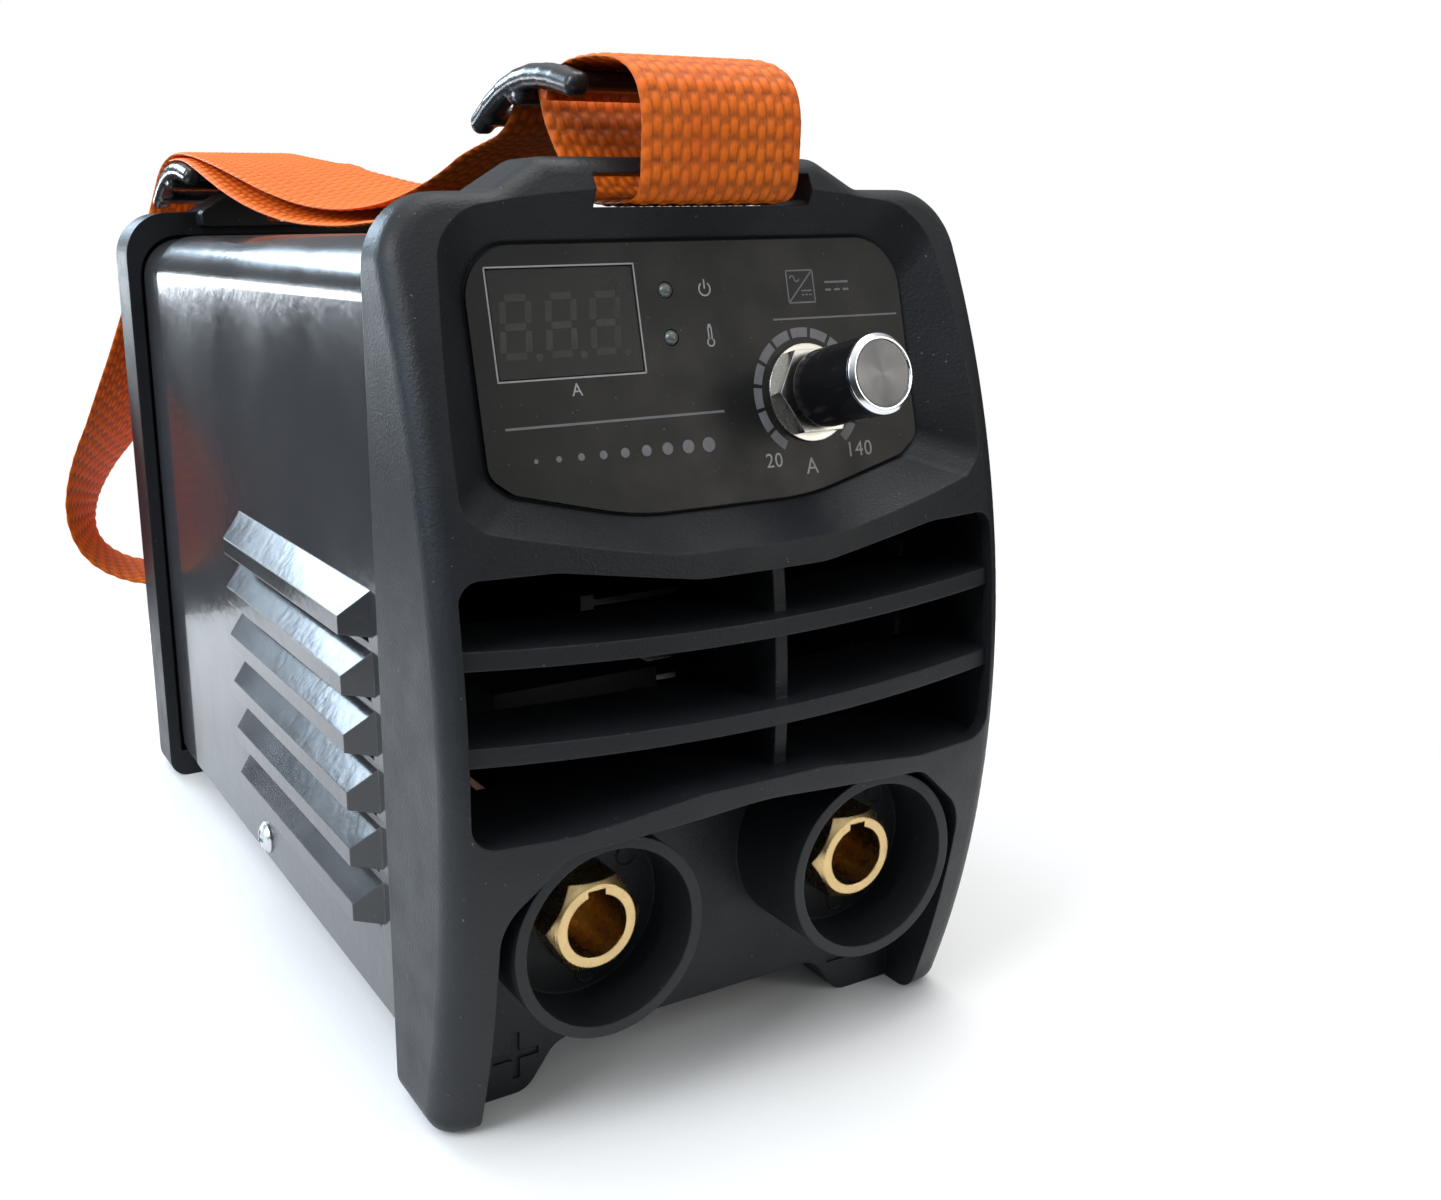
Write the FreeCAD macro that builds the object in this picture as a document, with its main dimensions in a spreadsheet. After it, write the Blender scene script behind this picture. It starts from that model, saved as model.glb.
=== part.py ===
"""Stick welding inverter: plastic panels, a louvred steel cover, a carrying strap and the works inside.

Millimetres. X is to the right as one faces the controls, Y runs back and Z runs up. The origin is on the
surface that the feet stand on, under the middle of the case with its knob and cable gland.
"""
import FreeCAD, Part
import math
import os
import re

Vector = FreeCAD.Vector
Rotation = FreeCAD.Rotation
Placement = FreeCAD.Placement

doc = FreeCAD.newDocument("welding_inverter")
dims = doc.addObject("Spreadsheet::Sheet", "dims")

DRIVING = [
    ("front", -109.35, "Y of the front feet; every other Y is counted from it"),
    ("panel_half", 64.0, "half the width of the plastic panels"),
    ("panel_top", 177.2, "height of the plastic panels without their lugs"),
    ("lug_top", 183.1, "height of the strap lugs"),
    ("bezel_back", 17.3, "rear edge of the front bezel"),
    ("rear_front", 212.7, "front edge of the rear panel"),
    ("rear_back", 230.4, "rear edge of the rear panel"),
    ("corner", 13.0, "radius of the panels' top corners"),
    ("wall", 3.0, "wall of the plastic panels"),
    ("barrel_radius", 223.4, "radius of the bulging front, seen from the side"),
    ("barrel_back", 205.0, "how far the centre of that bulge is behind the feet"),
    ("barrel_height", 75.3, "height of the centre of that bulge"),
    ("edge_round", 5.5, "rounding of the front edge of the bezel"),
    ("rear_round", 3.0, "rounding of the rear panel's rear edge"),
    ("bow", 5.0, "how much further forward the middle of the front is than its sides"),
    ("tilt", 14.5, "lean of the control panel, in degrees"),
    ("panel_y", 3.2, "the control panel's own origin, counted from the feet"),
    ("panel_z", 142.0, "the same, in height"),
    ("knob_x", 22.4, "the dial's axis on the control panel"),
    ("knob_v", -3.4, "the same, along the panel's slope"),
    ("knob_radius", 7.55, "the dial knob"),
    ("shaft_radius", 3.0, "the potentiometer's shaft"),
    ("socket_x", 31.5, "the output sockets stand this far either side"),
    ("socket_z", 41.7, "height of the output sockets"),
    ("socket_bore", 6.5, "radius of the socket bore, for a 13 mm plug"),
    ("collar_radius", 20.3, "outside of the collar round each socket"),
    ("collar_inside", 18.0, "inside of that collar"),
    ("collar_front", -13.3, "front edge of the collars"),
    ("cup_floor", 0.4, "floor of the cup inside each collar"),
    ("socket_wall", 6.7, "front of the wall that the sockets stand on"),
    ("cover_half", 60.0, "half the width of the steel cover"),
    ("cover_top", 170.3, "top of the steel cover"),
    ("cover_bottom", 10.5, "lower edge of the steel cover"),
    ("cover_corner", 12.0, "radius of the cover's top corners"),
    ("cover_front", 13.8, "front edge of the cover, inside the bezel"),
    ("cover_back", 216.2, "rear edge of the cover, inside the rear panel"),
    ("sheet_metal", 1.2, "thickness of the cover and the base"),
    ("base_top", 10.3, "upper face of the base plate"),
    ("louvre_front", 30.5, "front end of the louvres"),
    ("louvre_back", 123.0, "rear end of the louvres"),
    ("louvre_low", 93.5, "lower edge of the highest louvre"),
    ("louvre_pitch", 12.45, "from one louvre to the next"),
    ("louvre_high", 10.0, "height of a louvre"),
    ("louvre_out", 5.6, "how far a louvre stands out"),
    ("slot_left", -22.6, "left end of the strap slots"),
    ("slot_right", 25.6, "right end of the strap slots"),
    ("slot_low", 174.2, "floor of the strap slots"),
    ("slot_high", 180.1, "underside of the strap bars"),
    ("rear_wall_front", 219.0, "front of the rear panel's wall"),
    ("rear_wall_back", 222.0, "rear of that wall"),
    ("fan_z", 62.0, "height of the fan's axis"),
    ("fan_half", 40.0, "half the side of the fan"),
    ("fan_deep", 25.0, "depth of the fan"),
    ("fan_bore", 38.0, "radius of the fan's duct"),
    ("hub_radius", 14.0, "the fan's hub"),
    ("switch_x", -27.0, "middle of the power switch"),
    ("inlet_z", 138.0, "height of the power switch and the cable gland"),
    ("gland_x", 27.0, "axis of the cable gland"),
    ("gland_bore", 4.5, "radius of the gland's bore, for a 9 mm cord"),
    ("gland_back", 240.0, "rear end of the gland's cap"),
    ("earth_x", -50.0, "axis of the earth stud"),
    ("earth_z", 24.0, "height of the earth stud"),
    ("earth_shank", 3.5, "radius of the earth stud where it is clamped to the wall"),
    ("earth_end", 3.0, "radius of the earth stud's free end, for an M6 ring terminal"),
    ("earth_free", 8.4, "length of that free end"),
    ("board_z", 24.0, "underside of the power board"),
    ("board_thick", 1.6, "thickness of the circuit boards"),
    ("webbing_wide", 35.0, "width of the strap"),
    ("webbing_thick", 1.7, "thickness of the strap"),
]
for row, (alias, value, note) in enumerate(DRIVING, 1):
    dims.set(f"A{row}", note)
    dims.set(f"B{row}", str(value))
    dims.setAlias(f"B{row}", alias)
doc.recompute()

ALIASES = {alias for alias, _, _ in DRIVING}
PIECES = {}

CLEAR = 30          # tools that cut the front begin this far ahead of the feet
FOOT_ROUND = 5.5    # radius of the feet's corners
PLATE_SCREWS = (-48, 48)    # X of the screws that hold the panels to the base
FRONT_SCREW_Y = 14
REAR_SCREW_Y = 215
COVER_SCREW = (117, 16.5)   # Y and Z of the screw in each side of the cover
PILOT = 1.45        # radius of a pilot hole in plastic
FAN_HOLE = 35.75    # a fan's screws are this far either side of its axis
WINDOW = (-44.2, 2.9, -14.2, 22.7)  # the readout's window on the control panel
LIGHTS = {"power": (-7.5, 17.8), "overload": (-7.5, 8.9)}
LIGHT_HOLE = 1.6
SHAFT_HOLE = 4.6
MARK_X, MARK_Z = 42.3, 8.6  # middle of the polarity mark below each output socket
MARK_BAR = 1.7
MARK_DEEP = 0.6
LUG_BACK = 7.5      # how far the strap lugs reach over the cover


def mm(alias):
    """The sheet's value for an alias, as a plain number."""
    return float(getattr(dims, alias))


def bound(text):
    """An expression in plain aliases, as one that reads the sheet."""
    return re.sub(r"[a-z_]+", lambda w: f"dims.{w[0]}" if w[0] in ALIASES else w[0], str(text))


# ---------------------------------------------------------------- helpers: primitives and booleans


def sized(kind, name, sizes, at, turn=None):
    """A Part primitive whose sizes and place are expressions on the sheet."""
    made = doc.addObject(f"Part::{kind}", name)
    for prop, text in sizes.items():
        made.setExpression(prop, bound(text))
    if turn is not None:
        made.Placement = Placement(Vector(), turn)
    for letter, text in zip("xyz", at):
        made.setExpression(f"Placement.Base.{letter}", bound(text))
    return made


def box(name, low, size, turn=None):
    """A block from its lowest corner and its size."""
    return sized("Box", name, dict(zip(("Length", "Width", "Height"), size)), low, turn)


TOWARD = {
    "+X": Rotation(Vector(0, 1, 0), 90),
    "-X": Rotation(Vector(0, 1, 0), -90),
    "+Y": Rotation(Vector(1, 0, 0), -90),
    "-Y": Rotation(Vector(1, 0, 0), 90),
    "+Z": Rotation(),
    "-Z": Rotation(Vector(1, 0, 0), 180),
}
TOWARD["panel"] = Rotation(Vector(1, 0, 0), 90 - mm("tilt"))


def rod(name, at, radius, length, toward="+Z"):
    """A cylinder that starts at a point and runs one way."""
    return sized("Cylinder", name, {"Radius": radius, "Height": length}, at, TOWARD[toward])


def cone(name, at, radius, end_radius, length, toward="+Z"):
    sizes = {"Radius1": radius, "Radius2": end_radius, "Height": length}
    return sized("Cone", name, sizes, at, TOWARD[toward])


def hexagon(name, at, across_corners, length, toward="+Z"):
    """A hexagonal prism, given its radius over the corners."""
    made = sized("Prism", name, {"Circumradius": across_corners, "Height": length}, at, TOWARD[toward])
    made.Polygon = 6
    return made


def ring(name, at, radius, thick, toward="+Y"):
    return sized("Torus", name, {"Radius1": radius, "Radius2": thick}, at, TOWARD[toward])


def fuse(name, *shapes):
    made = doc.addObject("Part::MultiFuse", name)
    made.Shapes = list(shapes)
    return made


def cut(name, base, *tools):
    made = doc.addObject("Part::Cut", name)
    made.Base = base
    made.Tool = tools[0] if len(tools) == 1 else fuse(f"{name}_tools", *tools)
    return made


def common(name, first, second):
    made = doc.addObject("Part::Common", name)
    made.Base = first
    made.Tool = second
    return made


def group(name, shapes):
    """Several separate solids in one node, such as a set of screws."""
    made = doc.addObject("Part::Compound", name)
    made.Links = list(shapes)
    return made


def piece(label, made):
    """Keep an object as a finished sub-part under its own label."""
    made.Label = label
    PIECES[label] = made
    return made


def back(distance):
    """The Y expression of a distance behind the front feet."""
    return f"front + {distance}"


def on_panel(x, v, n):
    """A point on the control panel: across, up its slope, and out of its face."""
    y = f"front + panel_y + ({v}) * sin(tilt) - ({n}) * cos(tilt)"
    z = f"panel_z + ({v}) * cos(tilt) + ({n}) * sin(tilt)"
    return (x, y, z)


# ---------------------------------------------------------------- helpers: sketches


def outline(corners):
    """Straight runs and tangent arcs round a closed run of (across, up, corner radius)."""
    stops = []
    for i, (across, up, radius) in enumerate(corners):
        here = Vector(across, up, 0)
        before = Vector(*corners[i - 1][:2], 0) - here
        after = Vector(*corners[(i + 1) % len(corners)][:2], 0) - here
        before.normalize()
        after.normalize()
        half = before.getAngle(after) / 2
        reach = radius / math.tan(half)
        inward = (before + after).normalize() if half < 1.55 else Vector()
        middle = here + inward * (radius / math.sin(half) - radius)
        stops.append((here + before * reach, middle, here + after * reach))
    edges = []
    for i, (start, middle, end) in enumerate(stops):
        if start.distanceToPoint(end) > 0.01:
            edges.append(Part.Arc(start, middle, end))
        edges.append(Part.LineSegment(end, stops[(i + 1) % len(stops)][0]))
    return edges


def sketch(owner, role, edges, offset=0):
    """A sketch on one of its body's own origin planes, moved out along the plane's normal."""
    made = owner.newObject("Sketcher::SketchObject", f"{owner.Name}_sketch")
    plane = next(f for f in owner.Origin.OriginFeatures if f.Role == role)
    made.AttachmentSupport = [(plane, "")]
    made.MapMode = "FlatFace"
    made.setExpression("AttachmentOffset.Base.z", bound(offset))
    made.addGeometry(edges, False)
    return made


def pad_back(name, edges, start, depth):
    """A pad from an outline in X and Z that runs back from a Y."""
    body = doc.addObject("PartDesign::Body", name)
    profile = sketch(body, "XZ_Plane", edges, f"-({start})")
    pad = body.newObject("PartDesign::Pad", f"{name}_pad")
    pad.Profile = profile
    pad.Reversed = True
    pad.setExpression("Length", bound(depth))
    return body


def pad_right(name, edges, start, depth):
    """A pad from an outline in Y and Z that runs to the right from an X."""
    body = doc.addObject("PartDesign::Body", name)
    profile = sketch(body, "YZ_Plane", edges, start)
    pad = body.newObject("PartDesign::Pad", f"{name}_pad")
    pad.Profile = profile
    pad.setExpression("Length", bound(depth))
    return body


def pad_panel(name, edges, start, depth):
    """A pad on the leaning control panel, that starts at a height over its face."""
    body = doc.addObject("PartDesign::Body", name)
    profile = sketch(body, "XY_Plane", edges)
    pad = body.newObject("PartDesign::Pad", f"{name}_pad")
    pad.Profile = profile
    pad.setExpression("Length", bound(depth))
    body.Placement = Placement(Vector(), TOWARD["panel"])
    for letter, text in zip("xyz", on_panel(0, 0, start)):
        body.setExpression(f"Placement.Base.{letter}", bound(text))
    return body


# ---------------------------------------------------------------- front bezel


def barrel(name, inset):
    """The bulging front, as a ring about an axis along X; its face is moved in by inset."""
    outer = mm("barrel_radius") - inset
    bow, half = mm("bow"), mm("panel_half")
    reach = half + 6
    inner = outer - 90
    edge = outer - bow * (reach / half) ** 2
    body = doc.addObject("PartDesign::Body", name)
    profile = sketch(body, "XY_Plane", [
        Part.Arc(Vector(-reach, -edge, 0), Vector(0, -outer, 0), Vector(reach, -edge, 0)),
        Part.LineSegment(Vector(reach, -edge, 0), Vector(reach, -inner, 0)),
        Part.LineSegment(Vector(reach, -inner, 0), Vector(-reach, -inner, 0)),
        Part.LineSegment(Vector(-reach, -inner, 0), Vector(-reach, -edge, 0)),
    ])
    turned = body.newObject("PartDesign::Revolution", f"{name}_revolution")
    turned.Profile = profile
    turned.ReferenceAxis = (profile, ["H_Axis"])
    turned.Angle = 120
    turned.Midplane = True
    body.setExpression("Placement.Base.y", bound("front + barrel_back"))
    body.setExpression("Placement.Base.z", bound("barrel_height"))
    return body


def lug_outline():
    """The right and left slopes of a strap lug, standing on the panel's top edge."""
    top, crown = mm("panel_top"), mm("lug_top")
    return [(-42.3, top, 5), (-32, crown, 6), (29, crown, 6), (38.4, top, 5)]


def silhouette():
    """Seen from the front: rounded top corners, a strap lug, two feet and an arch between them."""
    half, top, corner = mm("panel_half"), mm("panel_top"), mm("corner")
    lug_left_foot, lug_left, lug_right, lug_right_foot = lug_outline()
    return outline([
        (-half, top, corner), lug_left_foot, lug_left, lug_right, lug_right_foot, (half, top, corner),
        (half, 0, FOOT_ROUND), (40, 0, FOOT_ROUND), (33, 9.5, 6),
        (-33, 9.5, 6), (-40, 0, FOOT_ROUND), (-half, 0, FOOT_ROUND),
    ])


def recess_outline(grow, smile, top):
    """The control panel's outline: straight sides and top, and a bottom that curves like a smile."""
    side = 48.8 + grow
    return outline([
        (-side, top, 10), (side, top, 10), (side, smile + 9.4, 4), (side - 4.5, smile + 6, 4),
        (20, smile, 60), (-20, smile, 60), (4.5 - side, smile + 6, 4), (-side, smile + 9.4, 4),
    ])


def panel_funnel(name, grow, floor):
    """The panel's recess, which widens from its floor to beyond the bulging front."""
    profiles = []
    for step, widen, smile, top, height in (("floor", 0, -23.4, 27, 0), ("mouth", 24.6, -38.8, 55.6, 22)):
        made = doc.addObject("Sketcher::SketchObject", f"{name}_{step}")
        made.addGeometry(recess_outline(widen + grow, smile - grow, top + grow), False)
        made.Placement = Placement(Vector(), TOWARD["panel"])
        for letter, text in zip("xyz", on_panel(0, 0, floor + height)):
            made.setExpression(f"Placement.Base.{letter}", bound(text))
        profiles.append(made)
    made = doc.addObject("Part::Loft", name)
    made.Sections = profiles
    made.Solid = True
    made.Ruled = True
    return made


def band(half, low, high, sag):
    """A blade seen from the front: a level strip that hangs lower in the middle."""
    return [
        Part.Arc(Vector(-half, high, 0), Vector(0, high - sag, 0), Vector(half, high, 0)),
        Part.LineSegment(Vector(half, high, 0), Vector(half, low, 0)),
        Part.Arc(Vector(half, low, 0), Vector(0, low - sag, 0), Vector(-half, low, 0)),
        Part.LineSegment(Vector(-half, low, 0), Vector(-half, high, 0)),
    ]


def cover_outline(inset, low):
    """The arch of the steel cover, moved in from its outer face."""
    half = mm("cover_half") - inset
    top = mm("cover_top") - inset
    corner = mm("cover_corner") - inset
    return outline([(-half, top, corner), (half, top, corner), (half, low, 0.5), (-half, low, 0.5)])


def window_outline(inset, corner):
    """The readout's window, moved in from its edge."""
    left, low, right, high = WINDOW
    return outline([(left + inset, low + inset, corner), (right - inset, low + inset, corner),
                    (right - inset, high - inset, corner), (left + inset, high - inset, corner)])


def panel_holes(name, start, depth):
    """The control panel's holes for the readout, the two lights and the dial's shaft."""
    holes = [pad_panel(f"{name}_window", window_outline(0, 0.5), start, depth),
             rod(f"{name}_shaft_hole", on_panel("knob_x", "knob_v", start), SHAFT_HOLE, depth, "panel")]
    holes += [rod(f"{name}_{light}_hole", on_panel(x, v, start), LIGHT_HOLE, depth, "panel")
              for light, (x, v) in LIGHTS.items()]
    return holes


def polarity_marks():
    """A plus sunk into the wall below the left output socket and a minus below the right one."""
    long, thin = 10.4, MARK_BAR / 2
    bars = [("plus_across", -MARK_X, long / 2, thin), ("plus_upright", -MARK_X, thin, long / 2),
            ("minus", MARK_X, long / 2, thin)]
    return [box(name, (x - wide, back("socket_wall - 1"), MARK_Z - high), (2 * wide, 1 + MARK_DEEP, 2 * high))
            for name, x, wide, high in bars]


def is_front_edge(edge):
    """Whether an edge of the bezel's block lies on the bulging front, all along."""
    for share in (0.05, 0.5, 0.95):
        point = edge.valueAt(edge.FirstParameter + share * (edge.LastParameter - edge.FirstParameter))
        across = point.x / mm("panel_half")
        reach = math.hypot(point.y - mm("front") - mm("barrel_back"), point.z - mm("barrel_height"))
        if abs(reach - mm("barrel_radius") + mm("bow") * across ** 2) > 0.3:
            return False
    return True


def is_rear_edge(edge):
    """Whether an edge of the rear panel's block lies in its rearmost plane."""
    return edge.BoundBox.YMin > mm("front") + mm("rear_back") - 0.01


def rounded(name, base, radius, wanted):
    """Round the edges of an object for which a test holds."""
    doc.recompute()
    made = doc.addObject("Part::Fillet", name)
    made.Base = base
    size = mm(radius)
    made.Edges = [(i, size, size) for i, edge in enumerate(base.Shape.Edges, 1) if wanted(edge)]
    return made


def front_bezel():
    ahead = back(-CLEAR)
    shape = pad_back("bezel_silhouette", silhouette(), ahead, f"bezel_back + {CLEAR}")
    block = common("bezel_block", barrel("bezel_barrel", 0), shape)
    skin = rounded("bezel_rounded", block, "edge_round", is_front_edge)

    hollow_shape = pad_back("bezel_inside", cover_outline(-0.3, 8.5), ahead, f"bezel_back + {CLEAR + 1}")
    hollow = common("bezel_hollow", barrel("bezel_inner_barrel", mm("wall")), hollow_shape)
    panel_wall = panel_funnel("bezel_panel_wall", 2.4, -3.2)
    socket_edge = [(57.5, 52, 14), (42, 65, 10), (0, 68.2, 60), (-42, 65, 10), (-57.5, 52, 14)]
    socket_wall = pad_back(
        "bezel_socket_wall", outline([(57.5, -4, 1), *socket_edge, (-57.5, -4, 1)]), ahead,
        f"socket_wall + wall + {CLEAR}")
    hollow = cut("bezel_cavity", hollow, panel_wall, socket_wall)

    recess = panel_funnel("bezel_recess", 0, -1.0)
    mouth_edge = [(54.5, 50, 12), (41, 62, 8), (0, 65.2, 60), (-41, 62, 8), (-54.5, 50, 12)]
    socket_recess = pad_back(
        "bezel_socket_recess", outline([(54.5, -4, 1), *mouth_edge, (-54.5, -4, 1)]), ahead,
        f"socket_wall + {CLEAR}")
    grille = pad_back("bezel_grille", outline([
        (60, 113.6, 4), (42, 113.6, 20), (14, 109.4, 30), (-14, 109.4, 30), (-42, 113.6, 20),
        (-60, 113.6, 4), (-60, 65.6, 5), (-40, 65.6, 20), (-14, 69, 30), (14, 69, 30), (40, 65.6, 20),
        (60, 65.6, 5)]), ahead, f"bezel_back + {CLEAR + 1}")
    strap_slot = box("bezel_strap_slot", ("slot_left", ahead, "slot_low"),
                     ("slot_right - slot_left", 2 * CLEAR, "slot_high - slot_low"))
    opened = cut("bezel_opened", skin, hollow, recess, socket_recess, grille, strap_slot,
                 *panel_holes("bezel", -12, 12), *polarity_marks())

    blade_front = barrel("blade_barrel", 1.6)
    blades = [
        pad_back("upper_blade", band(61.5, 98.2, 101.6, 2.0), ahead, "37"),
        pad_back("lower_blade", band(61.5, 81.0, 84.5, 2.0), ahead, "36"),
    ]
    blades = common("bezel_blades", blade_front, fuse("bezel_blade_prisms", *blades))
    rib = common("bezel_rib", barrel("rib_barrel", 5.5),
                 box("bezel_rib_prism", (5.4, ahead, 65), (2.8, 38, 47)))
    ledge = common("bezel_ledge", barrel("ledge_barrel", 1.0), pad_back(
        "bezel_ledge_prism", outline([
            (60.3, 65.6, 1), (40, 65.6, 20), (14, 69, 30), (-14, 69, 30), (-40, 65.6, 20),
            (-60.3, 65.6, 1), (-60.3, 62, 1), (-41, 62, 8), (0, 65.2, 60), (41, 62, 8), (60.3, 62, 1)]),
        ahead, "42"))
    solids = [opened, ledge]
    holes = []
    for side, sign in (("left", "-"), ("right", "")):
        x = f"{sign}socket_x"
        solids.append(rod(f"{side}_collar", (x, back("collar_front"), "socket_z"), "collar_radius",
                          "socket_wall - collar_front + 1", "+Y"))
        holes.append(rod(f"{side}_cup", (x, back("collar_front - 1"), "socket_z"), "collar_inside",
                         "cup_floor - collar_front + 1", "+Y"))
        holes.append(rod(f"{side}_shank_hole", (x, back("cup_floor - 1"), "socket_z"), 8.1, 14, "+Y"))
    lug = pad_back("bezel_lug", back_of_lug(), back("bezel_back - 1"), LUG_BACK)
    holes += [strap_slot, *pilots("bezel", FRONT_SCREW_Y)]
    bezel = piece("front_bezel", cut("bezel", fuse("bezel_solids", *solids, lug), *holes))
    piece("front_grille", cut("grille", fuse("grille_bars", blades, rib), bezel))


def pilots(name, y):
    """Holes for the screws that come down through the base plate."""
    return [rod(f"{name}_pilot_{x}", (x, back(y), 2), PILOT, 8) for x in PLATE_SCREWS]


def back_of_lug():
    """The stretch of a lug that reaches over the top of the cover."""
    top = mm("panel_top")
    return outline([(-42.3, 173, 1), (-42.3, top, 2), *lug_outline()[1:3], (38.4, top, 2), (38.4, 173, 1)])


# ---------------------------------------------------------------- control panel


def control_panel():
    label = pad_panel("label_plate", recess_outline(-0.25, -23.15, 26.75), -1, 1)
    piece("control_label", cut("label", label, *panel_holes("label", -2, 3)))
    module = window_outline(0.2, 0.4)
    piece("display_module", pad_panel("display_block", module, -11, 10.2))
    piece("display_digits", digits())
    piece("display_lens", pad_panel("lens_plate", module, -0.4, 0.4))
    lens = LIGHT_HOLE - 0.1
    for light, (x, v) in LIGHTS.items():
        dome = sized("Sphere", f"{light}_dome", {"Radius": lens}, on_panel(x, v, -0.6))
        stem = rod(f"{light}_stem", on_panel(x, v, -11), lens, 10.4, "panel")
        piece(f"{light}_light", fuse(f"{light}_lens", dome, stem))
    board = pad_panel("control_board_plate", outline([
        (-50, -14, 2), (50, -14, 2), (50, 24.5, 2), (-50, 24.5, 2)]), -12.6, "board_thick")
    piece("control_board", board)
    piece("control_board_spacers", group("spacers", [
        rod(f"spacer_{i}", on_panel(x, v, -11), 2.4, 7.8, "panel")
        for i, (x, v) in enumerate(((-43, -10), (43, -10), (43, 21), (6, 21)))]))


def digits():
    """Three slanting seven-segment figures, each with its point."""
    edges = []
    lean, middle_v, bar = 0.11, 12.4, 1.25
    for middle in (-39.3, -30.1, -20.9):
        bars = [(0, top, 4.2, bar) for top in (-5.2, 0, 5.2)]
        bars += [(side, up, bar, 3.8) for side in (-2.55, 2.55) for up in (-2.6, 2.6)]
        for across, up, wide, high in bars:
            corners = [(across + sx * wide / 2, up + sy * high / 2)
                       for sx, sy in ((-1, -1), (1, -1), (1, 1), (-1, 1))]
            corners = [(middle + x + lean * y, middle_v + y, 0.3) for x, y in corners]
            edges += outline(corners)
        edges.append(Part.Circle(Vector(middle + 3.9, 6.8, 0), Vector(0, 0, 1), 0.7))
    profile = doc.addObject("Sketcher::SketchObject", "digit_sketch")
    profile.addGeometry(edges, False)
    made = doc.addObject("Part::Extrusion", "digit_bars")
    made.Base = profile
    made.Dir = Vector(0, 0, 1)
    made.LengthFwd = 0.4
    made.Solid = True
    made.Placement = Placement(Vector(), TOWARD["panel"])
    for letter, text in zip("xyz", on_panel(0, 0, -0.8)):
        made.setExpression(f"Placement.Base.{letter}", bound(text))
    return made


def dial():
    """The potentiometer behind the panel, its nut and washer, and the knob on its shaft."""
    back_of_knob, trim = 4.6, 21.2

    def along(name, start, radius, length):
        return rod(name, on_panel("knob_x", "knob_v", start), radius, length, "panel")

    piece("potentiometer_body", cut(
        "potentiometer", fuse("pot_solid", along("pot_can", -11, 8, 7.8), along("pot_bush", -3.5, 4.4, 7.5)),
        along("pot_bore", -10, "shaft_radius + 0.05", 15)))
    piece("potentiometer_shaft", along("pot_shaft", -9.8, "shaft_radius", 27.8))
    piece("potentiometer_washer", cut("washer", along("washer_disc", 0, 9.6, 0.8),
                                      along("washer_hole", -1, 4.5, 3)))
    piece("potentiometer_nut", cut(
        "pot_nut", hexagon("pot_nut_hex", on_panel("knob_x", "knob_v", 0.8), 9.2, 2.8, "panel"),
        along("pot_nut_hole", 0, 4.45, 5)))
    piece("knob_body", cut(
        "knob", along("knob_barrel", back_of_knob, "knob_radius", trim - back_of_knob),
        along("knob_bore", 4, "shaft_radius", 14), along("knob_back_hollow", 4, 6.2, 3.6)))
    ring_top = cone("knob_ring_chamfer", on_panel("knob_x", "knob_v", trim + 0.4), "knob_radius",
                    "knob_radius - 0.8", 0.8, "panel")
    face_radius = 6.3
    piece("knob_ring", cut(
        "knob_trim", fuse("knob_trim_solid", along("knob_ring_side", trim, "knob_radius", 0.4), ring_top),
        along("knob_ring_hole", 21, face_radius, 2)))
    piece("knob_face", along("knob_disc", trim, face_radius, 0.95))


# ---------------------------------------------------------------- output sockets


def output_sockets():
    nuts, bars = [], []
    for side, sign in (("left", "-"), ("right", "")):
        x = f"{sign}socket_x"

        def along(name, start, radius, length):
            return rod(f"{side}_{name}", (x, back(start), "socket_z"), radius, length, "+Y")

        nose = cone(f"{side}_nose", (x, back(-7.9), "socket_z"), 8.5, 11, 2.2, "+Y")
        hexed = common(f"{side}_flange",
                       hexagon(f"{side}_hex", (x, back(-7.9), "socket_z"), 10.5, "7.9 + cup_floor", "+Y"),
                       fuse(f"{side}_turning", nose, along("flange_turning", -5.7, 11, 7)))
        solid = fuse(f"{side}_brass", hexed, along("shank", -1, 8.0, 25), along("tail", 23, 4.0, 11))
        keyway = box(f"{side}_keyway", (f"{x} - 1.9", back(-9), "socket_z + 2"), (3.8, 19, 5.5))
        polarity = {"left": "positive", "right": "negative"}[side]
        bore = along("bore", -9, "socket_bore", 26)
        piece(f"socket_{polarity}", cut(f"{side}_socket", solid, bore, keyway))
        nuts.append(cut(f"{side}_panel_nut", hexagon(
            f"{side}_panel_hex", (x, back("socket_wall + wall"), "socket_z"), 13, 6, "+Y"),
            along("panel_nut_hole", 9, 8.05, 9)))
        nuts.append(cut(f"{side}_tail_nut", hexagon(
            f"{side}_tail_hex", (x, back(26), "socket_z"), 7.4, 6, "+Y"),
            along("tail_nut_hole", 25, 4.05, 9)))
        low = f"{x} - 8"
        bars.append(cut(f"{side}_busbar", fuse(
            f"{side}_strip",
            box(f"{side}_strip_front", (low, back(24), 32), (16, 2, 28)),
            box(f"{side}_strip_top", (low, back(24), 58), (16, 20, 2)),
            box(f"{side}_strip_down", (low, back(42), 25.6), (16, 2, 34.4))), along("bar_hole", 23, 4.1, 4)))
    piece("socket_nuts", group("socket_nut_set", nuts))
    piece("output_busbars", group("busbar_set", bars))


# ---------------------------------------------------------------- steel cover and base


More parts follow.
